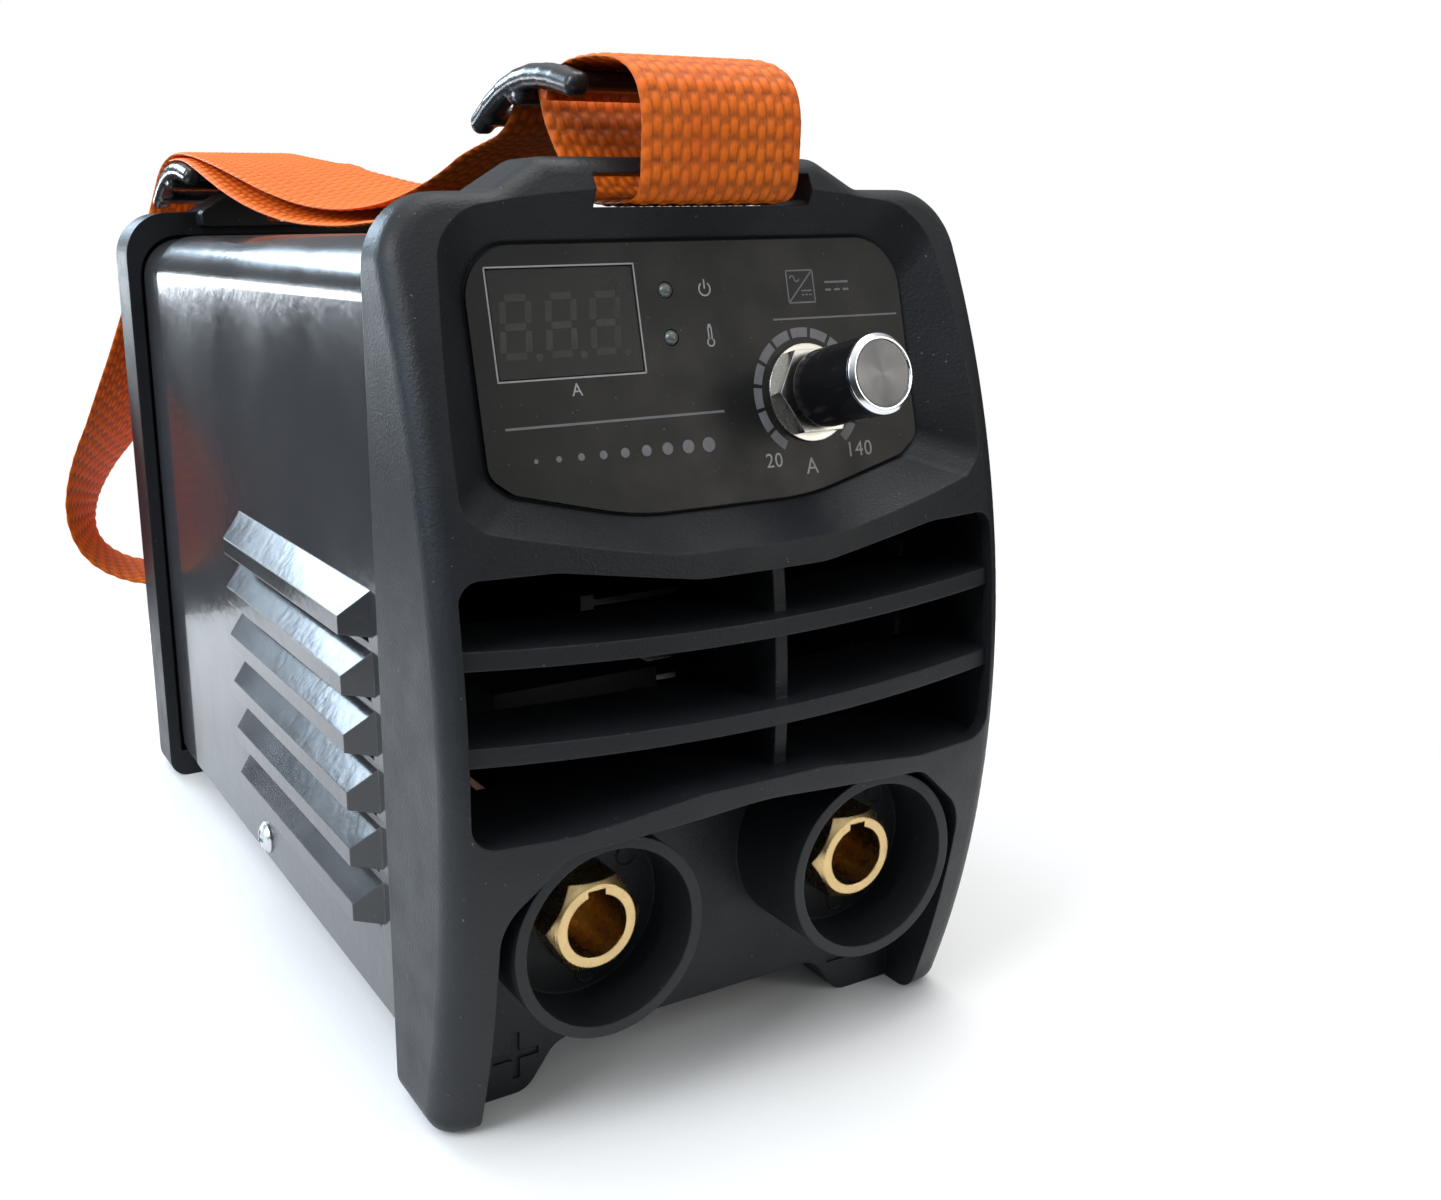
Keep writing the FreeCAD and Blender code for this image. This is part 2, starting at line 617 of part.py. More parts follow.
def cover():
    joggle, sheet = 0.8, mm("sheet_metal")
    low = mm("cover_bottom")
    step = 192.0
    shells = []
    runs = (("front", 0, "cover_front", step + 1), ("rear", joggle, step, "cover_back"))
    for name, inset, start, end in runs:
        outer = pad_back(f"cover_{name}_outer", cover_outline(inset, low), back(start), f"{end} - {start}")
        inner = pad_back(f"cover_{name}_inner", cover_outline(inset + sheet, low - 9),
                         back(f"{start} - 1"), f"{end} - {start} + 2")
        shells.append(cut(f"cover_{name}", outer, inner))
    shells.append(cut(
        "cover_joggle", pad_back("cover_joggle_outer", cover_outline(0, low), back(step), 1),
        pad_back("cover_joggle_inner", cover_outline(joggle + sheet, low - 9), back(step - 1), 3)))
    hoods, hollows = [], []
    for side, turn in (("left", Rotation(Vector(0, 0, 1), 90)), ("right", Rotation(Vector(0, 0, 1), -90))):
        for i in range(6):
            hoods.append(louvre(f"{side}_hood_{i}", side, i, turn, 0))
            hollows.append(louvre(f"{side}_hollow_{i}", side, i, turn, 1.0))
    holes = [through_hole("cover_screw_holes", 2.2)]
    piece("case_cover", cut("cover", fuse("cover_solid", *shells, *hoods), *hollows, *holes))


def through_hole(name, radius):
    """A hole right across the machine for the cover's two screws."""
    return rod(name, (-70, back(COVER_SCREW[0]), COVER_SCREW[1]), radius, 140, "+X")


def louvre(name, side, index, turn, thin):
    """A pressed hood with sloping ends, or its hollow when thin is the sheet's thickness in it."""
    long = mm("louvre_back") - mm("louvre_front")
    high = mm("louvre_high")
    inner = 1.5 if thin else 0
    made = doc.addObject("Part::Wedge", name)
    made.Xmin, made.Xmax = thin, long - thin
    made.X2min, made.X2max = 4.5 + thin, long - 4.5 - thin
    made.Zmin, made.Zmax = -inner, high - 1.3 * thin
    made.Z2min, made.Z2max = (-inner if thin else 0.4), 4.3 - 0.7 * thin
    made.Ymin = -1.2 - inner if thin else -0.4
    made.setExpression("Ymax", bound(f"louvre_out - {thin}"))
    made.Placement = Placement(Vector(), turn)
    start = "louvre_front" if side == "left" else "louvre_back"
    sign = "-" if side == "left" else ""
    made.setExpression("Placement.Base.x", bound(f"{sign}cover_half"))
    made.setExpression("Placement.Base.y", bound(back(start)))
    made.setExpression("Placement.Base.z", bound(f"louvre_low - {index} * louvre_pitch"))
    return made


def base():
    half = mm("cover_half") - mm("sheet_metal") - 0.1
    floor = box("base_floor", (-half, back(11), "base_top - sheet_metal"), (2 * half, 205, "sheet_metal"))
    sides = [box(f"base_side_{i}", (x, back(20), "base_top - 0.2"), ("sheet_metal", 165, 14))
             for i, x in enumerate((-half, half - mm("sheet_metal")))]
    holes = [through_hole("base_side_holes", 1.95)]
    holes += [rod(f"base_hole_{x}_{y}", (x, back(y), 5), 1.6, 9)
              for x in PLATE_SCREWS for y in (FRONT_SCREW_Y, REAR_SCREW_Y)]
    piece("base_plate", cut("base", fuse("base_solid", floor, *sides), *holes))
    piece("cover_screws", group("cover_screw_set", [
        screw(f"{name}_cover_screw", (x, back(COVER_SCREW[0]), COVER_SCREW[1]), toward, 1.9, 9, 4.2, 2.5)
        for name, x, toward in (("left", "-cover_half", "+X"), ("right", "cover_half", "-X"))]))
    for label, y in (("bezel_screws", FRONT_SCREW_Y), ("rear_panel_screws", REAR_SCREW_Y)):
        piece(label, group(f"{label}_set", [
            screw(f"{label}_{x}", (x, back(y), "base_top"), "-Z", 1.4, 7, 2.7, 1.8) for x in PLATE_SCREWS]))


def screw(name, at, toward, radius, length, head, head_high):
    """A pan-head screw that points one way from the face under its head."""
    turn = TOWARD[toward]
    shank = sized("Cylinder", f"{name}_shank", {"Radius": radius, "Height": length}, at, turn)
    cap = sized("Sphere", f"{name}_cap", {"Radius": head * 1.25}, at, turn)
    sink = head * 1.25 - head_high
    shift = turn.multVec(Vector(0, 0, sink))
    for letter, text, move in zip("xyz", at, shift):
        cap.setExpression(f"Placement.Base.{letter}", bound(f"{text} + ({move})"))
    drum = sized("Cylinder", f"{name}_drum", {"Radius": head, "Height": head_high}, at, turn)
    shift = turn.multVec(Vector(0, 0, -head_high))
    for letter, text, move in zip("xyz", at, shift):
        drum.setExpression(f"Placement.Base.{letter}", bound(f"{text} + ({move})"))
    top = common(f"{name}_head", drum, cap)
    slots = []
    for i, (wide, deep) in enumerate(((head * 1.1, head * 0.26), (head * 0.26, head * 1.1))):
        bar = sized("Box", f"{name}_slot_{i}", {"Length": wide, "Width": deep, "Height": head_high}, at, turn)
        shift = turn.multVec(Vector(-wide / 2, -deep / 2, -1.6 * head_high))
        for letter, text, move in zip("xyz", at, shift):
            bar.setExpression(f"Placement.Base.{letter}", bound(f"{text} + ({move})"))
        slots.append(bar)
    return cut(name, fuse(f"{name}_solid", top, shank), *slots)


# ---------------------------------------------------------------- rear panel and what it carries


def rear_panel():
    block = pad_back("rear_silhouette", silhouette(), back("rear_front"), "rear_back - rear_front")
    solid = rounded("rear_rounded", block, "rear_round", is_rear_edge)
    lug = pad_back("rear_lug", back_of_lug(), back(f"rear_front + 1 - {LUG_BACK}"), LUG_BACK)
    front_hollow = pad_back("rear_front_hollow", cover_outline(-0.3, 8.5), back("rear_front - 1"),
                            "rear_wall_front - rear_front + 1")
    rear_hollow = pad_back("rear_back_hollow", cover_outline(2.2, 14), back("rear_wall_back"), 12)
    wall = back("rear_wall_front - 1")
    openings = [
        rod("rear_fan_opening", (0, wall, "fan_z"), "fan_bore", 6, "+Y"),
        rod("rear_gland_hole", ("gland_x", wall, "inlet_z"), 9.15, 6, "+Y"),
        rod("rear_earth_hole", ("earth_x", wall, "earth_z"), "earth_shank + 0.1", 6, "+Y"),
        box("rear_switch_hole", ("switch_x - 14", wall, "inlet_z - 10.6"), (28, 6, 21.2)),
        box("rear_strap_slot", ("slot_left", back("rear_front - 10"), "slot_low"),
            ("slot_right - slot_left", 40, "slot_high - slot_low")),
    ]
    openings += [rod(f"rear_fan_hole_{i}", (x, wall, f"fan_z + {z}"), 2.2, 6, "+Y")
                 for i, (x, z) in enumerate(fan_corners())]
    openings += pilots("rear", REAR_SCREW_Y)
    piece("rear_panel", cut("rear", fuse("rear_solid", solid, lug), front_hollow, rear_hollow, *openings))


def fan_corners():
    """The fan's four screws, counted from its axis."""
    return [(x, z) for x in (-FAN_HOLE, FAN_HOLE) for z in (-FAN_HOLE, FAN_HOLE)]


def fan():
    start = "rear_wall_front - fan_deep"

    def along(name, begin, radius, length, x=0, z=0):
        return rod(name, (x, back(begin), f"fan_z + {z}"), radius, length, "+Y")

    frame = box("fan_block", ("-fan_half", back(start), "fan_z - fan_half"),
                ("2 * fan_half", "fan_deep", "2 * fan_half"))
    holes = [along("fan_duct", f"{start} - 1", "fan_bore", "fan_deep + 2")]
    holes += [along(f"fan_hole_{i}", f"{start} - 1", 2.15, "fan_deep + 2", x, z)
              for i, (x, z) in enumerate(fan_corners())]
    struts = [box("fan_strut_across", (-39, back("rear_wall_front - 3"), "fan_z - 2"), (78, 3, 4)),
              box("fan_strut_upright", (-2, back("rear_wall_front - 3"), "fan_z - 39"), (4, 3, 78))]
    centre = [along("fan_stator", "rear_wall_front - 4", 13, 4), along("fan_sleeve", f"{start} + 6", 4, 17)]
    piece("fan_frame", cut(
        "fan_case", fuse("fan_body", cut("fan_shell", frame, *holes), *struts, *centre),
        along("fan_bearing", f"{start} + 5", 1.55, 18)))
    hub = cut("fan_hub", along("fan_cup", f"{start} + 2", "hub_radius", 17),
              along("fan_cup_hollow", f"{start} + 4", "hub_radius - 1.4", 20))
    blades = []
    blade_count, pitch = 7, 38
    for i in range(blade_count):
        turn = Rotation(Vector(0, 1, 0), i * 360 / blade_count).multiply(Rotation(Vector(1, 0, 0), pitch))
        blade = sized("Box", f"fan_blade_{i}", {"Length": 23.5, "Width": 1.3, "Height": 17},
                      (0, back(f"{start} + 10"), "fan_z"), turn)
        shift = turn.multVec(Vector(13, -0.65, -8.5))
        for letter, text, move in zip("xyz", (0, back(f"{start} + 10"), "fan_z"), shift):
            blade.setExpression(f"Placement.Base.{letter}", bound(f"{text} + ({move})"))
        blades.append(blade)
    disc = along("fan_sweep", f"{start} + 1.5", 36.6, 18)
    piece("fan_rotor", fuse("fan_wheel", hub, common("fan_blades", fuse("fan_blade_set", *blades), disc),
                            along("fan_shaft", f"{start} + 3", 1.5, 17)))
    guard = [ring(f"guard_ring_{i}", (0, back("rear_wall_back + 1.6"), "fan_z"), radius, 0.9)
             for i, radius in enumerate((11, 19, 27, 35))]
    for i, angle in enumerate((45, 135)):
        turn = Rotation(Vector(0, 1, 0), angle)
        spoke = sized("Box", f"guard_spoke_{i}", {"Length": 98, "Width": 1.3, "Height": 1.8},
                      (0, back("rear_wall_back"), "fan_z"), turn)
        shift = turn.multVec(Vector(-49, 0, -0.9))
        for letter, text, move in zip("xyz", (0, back("rear_wall_back"), "fan_z"), shift):
            spoke.setExpression(f"Placement.Base.{letter}", bound(f"{text} + ({move})"))
        guard.append(spoke)
    guard += [along(f"guard_ear_{i}", "rear_wall_back", 4.2, 1.3, x, z)
              for i, (x, z) in enumerate(fan_corners())]
    holes = [along(f"guard_hole_{i}", "rear_wall_back - 1", 2.1, 4, x, z)
             for i, (x, z) in enumerate(fan_corners())]
    piece("fan_guard", cut("guard", fuse("guard_wires", *guard), *holes))
    piece("fan_screws", group("fan_screw_set", [
        screw(f"fan_screw_{i}", (x, back("rear_wall_back + 1.3"), f"fan_z + {z}"), "-Y", 1.9, 26, 3.6, 2.1)
        for i, (x, z) in enumerate(fan_corners())]))


def power_switch():
    face = "rear_wall_back"
    centre = "rear_wall_back - 5"
    shell = fuse(
        "switch_solid",
        box("switch_flange", ("switch_x - 15.5", back(face), "inlet_z - 12.4"), (31, 1.8, 24.8)),
        box("switch_case", ("switch_x - 13.8", back(f"{face} - 22"), "inlet_z - 10.4"), (27.6, 22.5, 20.8)))
    well = box("switch_well", ("switch_x - 12.2", back(f"{face} - 10"), "inlet_z - 9.6"), (24.4, 14, 19.2))
    pivots = rod("switch_pivot_holes", ("switch_x - 13.5", back(centre), "inlet_z"), 1.25, 27, "+X")
    tabs = [box(f"switch_tab_{i}", (f"switch_x + {x}", back(f"{face} - 30"), "inlet_z - 3.2"),
                (0.8, 8.5, 6.4))
            for i, x in enumerate((-7, 6))]
    piece("power_switch_body", cut("switch", fuse("switch_all", shell, *tabs), well, pivots))
    rocker = pad_right("rocker_profile", outline([
        (-3.4, -2.6, 1.2), (-3.4, 2.6, 1.2), (2.6, 7.3, 0.6), (7.6, 7.4, 1.2), (5.6, 0, 20),
        (7.6, -7.4, 1.2), (2.6, -7.3, 0.6)]), -12, 24)
    rocker.Placement = Placement(Vector(), Rotation(Vector(1, 0, 0), -10))
    for letter, text in zip("xyz", ("switch_x", back(centre), "inlet_z")):
        rocker.setExpression(f"Placement.Base.{letter}", bound(text))
    pins = rod("rocker_pins", ("switch_x - 13.2", back(centre), "inlet_z"), 1.2, 26.4, "+X")
    piece("power_switch_rocker", fuse("rocker", rocker, pins))


def cable_gland():
    face = "rear_wall_back"

    def along(name, begin, radius, length):
        return rod(name, ("gland_x", back(begin), "inlet_z"), radius, length, "+Y")

    piece("cable_gland_body", cut(
        "gland", fuse("gland_solid",
                      hexagon("gland_hex", ("gland_x", back(face), "inlet_z"), 12.6, 5, "+Y"),
                      along("gland_thread", f"{face} - 13", 9.0, 15), along("gland_neck", face, 7.8, 12)),
        along("gland_inlet", f"{face} - 14", 5.2, 30), along("gland_seat", f"{face} + 2", 6.2, 12)))
    piece("cable_gland_seal", cut("seal", along("seal_rod", f"{face} + 2", 6.2, 10.3),
                                  along("seal_bore", face, "gland_bore", 14)))
    cap = fuse("gland_cap_solid",
               hexagon("gland_cap_hex", ("gland_x", back(f"{face} + 5"), "inlet_z"), 12.6, 8, "+Y"),
               cone("gland_cap_dome", ("gland_x", back(f"{face} + 13"), "inlet_z"), 10.6, 7.2,
                    f"gland_back - {face} - 13", "+Y"))
    piece("cable_gland_cap", cut("gland_cap", cap, along("gland_cap_thread", face, 7.85, 12.35),
                                 along("gland_cap_mouth", face, 5.0, 30)))
    piece("cable_gland_locknut", cut(
        "locknut", hexagon("locknut_hex", ("gland_x", back("rear_wall_front - 5"), "inlet_z"), 12.6, 5, "+Y"),
        along("locknut_hole", "rear_wall_front - 6", 9.05, 8)))


def earth_terminal():
    """A stepped stud, clamped to the rear wall by its nut, with a free end for a ring terminal."""
    corners = 6.4
    washer, nut, clamped = 1.2, 5, 10.6

    def along(name, begin, radius, length):
        return rod(name, ("earth_x", back(begin), "earth_z"), radius, length, "+Y")

    head = hexagon("earth_head", ("earth_x", back("rear_wall_front - 4"), "earth_z"), corners, 4, "+Y")
    shank = along("earth_clamped", "rear_wall_front - 1", "earth_shank", clamped)
    free_end = along("earth_tip", f"rear_wall_front + {clamped} - 2", "earth_end", "earth_free + 1")
    piece("earth_stud", fuse("earth_bolt", head, shank, free_end))
    piece("earth_washer", cut("earth_ring", along("earth_disc", "rear_wall_back", 6.5, washer),
                              along("earth_disc_hole", "rear_wall_back - 1", "earth_shank + 0.1", 4)))
    piece("earth_nut", cut(
        "earth_hex_nut",
        hexagon("earth_hex", ("earth_x", back(f"rear_wall_back + {washer}"), "earth_z"), corners, nut, "+Y"),
        along("earth_nut_hole", "rear_wall_back", "earth_shank + 0.05", nut + 4)))


# ---------------------------------------------------------------- the works on the power board


def power_works():
    top = "board_z + board_thick"
    board = box("board_plate", (-52, back(36), "board_z"), (104, 154, "board_thick"))
    corners = [(x, y) for x in (-46, 46) for y in (50, 182)]
    piece("main_board", board)
    piece("board_standoffs", group("standoff_set", [
        rod(f"standoff_{x}_{y}", (x, back(y), "base_top"), 3, "board_z - base_top") for x, y in corners]))
    sinks, igbts, diodes = [], [], []
    for side, sign in (("left", -1), ("right", 1)):
        parts = [box(f"{side}_sink_back", (min(sign * 20, sign * 24), back(90), top), (4, 70, 52))]
        for i in range(9):
            low = (min(sign * 23.5, sign * 50), back(90), f"{top} + {1 + 6 * i}")
            parts.append(box(f"{side}_fin_{i}", low, (26.5, 70, 1.6)))
        sinks.append(fuse(f"{side}_sink", *parts))
        for i in range(3):
            block = box(f"{side}_chip_{i}", (min(sign * 15, sign * 20), back(96 + 22 * i), f"{top} + 6"),
                        (5, 16, 21))
            legs = [box(f"{side}_leg_{i}_{k}", (f"{sign * 17.5} - 0.4", back(98.6 + 22 * i + 5.4 * k), top),
                        (0.8, 1.2, 6.5)) for k in range(3)]
            (igbts if side == "left" else diodes).append(fuse(f"{side}_device_{i}", block, *legs))
    piece("heatsinks", group("heatsink_set", sinks))
    piece("igbt_transistors", group("igbt_set", igbts))
    piece("output_diodes", group("diode_set", diodes))
    piece("filter_capacitors", group("capacitor_set", [
        rod(f"capacitor_{y}", (0, back(y), top), 12.4, 42) for y in (104, 130, 156)]))
    core = cut("core_frame", box("core_block", (-22, back(56), top), (44, 20, 42)),
               *[box(f"core_window_{x}", (x, back(55), f"{top} + 7"), (8, 22, 28)) for x in (-15, 7)])
    piece("transformer_core", core)
    coil = cut("coil_ring", box("coil_block", (-14.8, back(48.5), f"{top} + 7.2"), (29.6, 35, 27.6)),
               box("coil_hole", (-7.2, back(55.8), top), (14.4, 20.4, 60)))
    piece("transformer_winding", coil)
    piece("bridge_rectifier", box("bridge", (28, back(58), top), (24, 24, 8)))
    piece("inrush_relay", box("relay", (-52, back(60), top), (15, 20, 16)))
    piece("output_choke", ring("choke", (-32, back(176), f"{top} + 4.2"), 9.5, 4.2, "+Z"))


# ---------------------------------------------------------------- carrying strap


def ribbon(name, stations):
    """Webbing through stations, each a centre, the way its width runs and how far it is from its base Y."""
    thick = mm("webbing_thick")
    half = mm("webbing_wide") / 2
    centres = [Vector(x, y + mm("front"), z) for x, y, z, _, _ in stations]
    loops = []
    for i, (_, _, _, swing, tip) in enumerate(stations):
        run = centres[min(i + 1, len(centres) - 1)] - centres[max(i - 1, 0)]
        swing, tip = math.radians(swing), math.radians(tip)
        across = Vector(math.cos(swing) * math.cos(tip), math.sin(swing) * math.cos(tip), math.sin(tip))
        normal = across.cross(run).normalize()
        across = run.cross(normal).normalize()
        corners = [centres[i] + across * (half * a) + normal * (thick / 2 * n)
                   for a, n in ((-1, -1), (1, -1), (1, 1), (-1, 1))]
        loops.append(Part.makePolygon([*corners, corners[0]]))
    made = doc.addObject("Part::Feature", name)
    made.Shape = Part.makeLoft(loops, True, True)
    return piece(name, made)


def glide(label, x, y, z, lean):
    """A three-bar slide buckle that lies across the webbing."""
    body = doc.addObject("PartDesign::Body", f"{label}_plate")
    plate = outline([(-21.5, -13, 4), (21.5, -13, 4), (21.5, 13, 4), (-21.5, 13, 4)])
    for low in (-8.6, 2.8):
        plate += outline([(-18.2, low, 1), (18.2, low, 1), (18.2, low + 5.8, 1), (-18.2, low + 5.8, 1)])
    pad = body.newObject("PartDesign::Pad", f"{label}_pad")
    pad.Profile = sketch(body, "XY_Plane", plate)
    pad.Length = 3.2
    body.Placement = Placement(Vector(), Rotation(Vector(1, 0, 0), lean))
    for letter, text in zip("xyz", (x, back(y), z)):
        body.setExpression(f"Placement.Base.{letter}", bound(text))
    return piece(label, body)


def strap():
    ribbon("strap_front_loop", [
        (2.5, 64, 192.2, 0, 0), (2.5, 50, 193.6, 0, 0), (2.5, 38, 190.5, 0, 0), (2.5, 30, 184.5, 0, 0),
        (2.5, 26.5, 179.5, 0, 0), (2.5, 22, 177.0, 0, 0), (2.5, 14, 176.6, 0, 0), (2.5, 7, 177.4, 0, 0),
        (2.5, 3.2, 180.5, 0, 0), (2.5, 1.6, 186, 0, 0), (2.5, 3.4, 192.5, 0, 0), (2.5, 9, 197, 0, 0),
        (2.5, 18, 199.2, 0, 0), (2.5, 30, 199.8, 0, 0), (2.5, 34.5, 199.4, 0, 0)])
    ribbon("strap_top_span", [
        (2.5, 68, 190.8, 0, 0), (1, 77, 186.6, -4, 0), (-3, 88, 181.5, -8, 3), (-8, 102, 178.6, -10, 5),
        (-13, 118, 178, -11, 6), (-17, 136, 179.6, -10, 6), (-20.5, 155, 183, -8, 5),
        (-23, 174, 187, -6, 3), (-24.5, 192, 190.2, -3, 1), (-25, 210, 192.6, 0, 0),
        (-25.2, 225, 193.8, 0, 0), (-25.6, 238, 193.2, 0, 0), (-26.4, 248, 189.4, 0, 0),
        (-28, 254.5, 181.5, 2, 0)])
    ribbon("strap_hanging_loop", [
        (-28.2, 255.2, 179.5, 2, 0), (-31.5, 259, 166, 8, 2), (-37.5, 260, 149, 18, 4),
        (-46, 258, 131, 30, 6), (-56.5, 255, 113, 42, 6), (-66.5, 252, 97, 55, 4),
        (-70.5, 250.5, 84, 66, 2), (-67, 250, 72, 74, 0), (-57, 249.5, 63.8, 78, 0), (-44, 249, 62.6, 78, 0),
        (-32, 248.5, 69, 74, 0), (-24, 248, 82, 62, 0), (-20.5, 247.5, 98, 48, 0), (-19.5, 247, 116, 34, 0),
        (-20, 246.5, 134, 20, 0), (-21.5, 246, 150, 8, 0), (-23, 245.5, 163, 2, 0),
        (-24, 244.5, 172, 0, 0)])
    ribbon("strap_rear_loop", [
        (-14, 234, 190.2, 0, 0), (-12.5, 224, 191.2, 0, 0), (-9, 213, 190.4, 0, 0), (-6, 206, 187, 0, 0),
        (-5, 202.5, 182.5, 0, 0), (-4.6, 203.5, 178.6, 0, 0), (-4.6, 209, 177.2, 0, 0),
        (-4.6, 222, 177.0, 0, 0), (-5, 232.5, 177.2, 0, 0), (-6, 236, 179.4, 0, 0)])
    glide("strap_front_buckle", 2.5, 49, 195.3, -8)
    glide("strap_rear_buckle", -25, 239, 181.5, -20)


# ---------------------------------------------------------------- build, check and write

front_bezel()
control_panel()
dial()
output_sockets()
cover()
base()
rear_panel()
fan()
power_switch()
cable_gland()
earth_terminal()
power_works()
strap()
doc.recompute()

faults = [o.Name for o in doc.Objects if {"Invalid", "Error"} & set(o.State)]
for label, made in PIECES.items():
    if made.Shape.isNull() or not made.Shape.isValid() or not made.Shape.Solids:
        faults.append(label)
if faults:
    raise SystemExit(f"these objects failed: {faults}")

os.makedirs("parts", exist_ok=True)
for label, made in PIECES.items():
    made.Shape.exportStep(f"parts/{label}.step")
    extent = made.Shape.BoundBox
    print(f"{label:24s} {len(made.Shape.Solids):3d} solids {made.Shape.Volume / 1000:9.2f} cm3 "
          f"x {extent.XMin:7.1f} {extent.XMax:7.1f} y {extent.YMin:7.1f} {extent.YMax:7.1f} "
          f"z {extent.ZMin:6.1f} {extent.ZMax:6.1f}")
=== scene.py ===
"""Stick welding inverter: finishes, webbing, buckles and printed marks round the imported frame.

Metres, in the frame's own axes. Lengths in tables are millimetres; Y is counted from the front feet.
"""
import bpy
import bmesh
import math
from mathutils import Matrix, Vector


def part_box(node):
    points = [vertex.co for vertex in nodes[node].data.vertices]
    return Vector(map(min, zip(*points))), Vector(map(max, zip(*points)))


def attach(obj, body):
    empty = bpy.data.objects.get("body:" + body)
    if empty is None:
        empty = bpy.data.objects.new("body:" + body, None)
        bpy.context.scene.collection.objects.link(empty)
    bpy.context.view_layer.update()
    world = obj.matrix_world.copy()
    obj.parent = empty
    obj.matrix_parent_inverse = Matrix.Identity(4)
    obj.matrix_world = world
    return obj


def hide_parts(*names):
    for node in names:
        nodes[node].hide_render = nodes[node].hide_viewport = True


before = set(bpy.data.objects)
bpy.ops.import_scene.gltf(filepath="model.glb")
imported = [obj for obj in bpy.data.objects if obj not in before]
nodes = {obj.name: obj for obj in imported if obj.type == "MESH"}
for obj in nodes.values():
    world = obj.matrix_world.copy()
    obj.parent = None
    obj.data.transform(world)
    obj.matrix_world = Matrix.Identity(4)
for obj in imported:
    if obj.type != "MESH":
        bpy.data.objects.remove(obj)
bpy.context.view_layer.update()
scene = bpy.context.scene

MM = 0.001
FRONT = -0.10935                 # Y of the front feet
TILT = math.radians(14.5)        # lean of the control panel
PANEL_ORIGIN = Vector((0, FRONT + 0.0032, 0.142))
PANEL_UP = Vector((0, math.sin(TILT), math.cos(TILT)))
PANEL_OUT = Vector((0, -math.cos(TILT), math.sin(TILT)))
ACROSS = Vector((1, 0, 0))
KNOB = (22.4, -3.4)              # the dial's axis on the control panel
SOCKETS = (-31.5, 31.5)
SOCKET_Z = 41.7
FAN_Z = 62.0
CUP_FLOOR = 0.4                  # Y of the floor of the cup round each socket
MARK_REACH = 14.4                # the moulded rings in a cup are this far from its axis
SHADE_DISC_RADIUS = 37.4             # the dark foam disc between the fan and its guard, put there as painted shade
FLOOR_HALF = 0.30                # metres; a small floor, so that the dark case mirrors little of it
LATHE_STEPS = 128                # faces round a turned piece
TURNING_UV = 8                   # radius in millimetres that one unit of the turning map covers


def at(x, y, z):
    """A point in metres from millimetres, with Y counted from the front feet."""
    return Vector((x * MM, FRONT + y * MM, z * MM))


def on_panel(x, v, n=0.0):
    """A point on the control panel: across, up its slope and out of its face."""
    return PANEL_ORIGIN + (ACROSS * x + PANEL_UP * v + PANEL_OUT * n) * MM


# ---------------------------------------------------------------- camera, light and floor


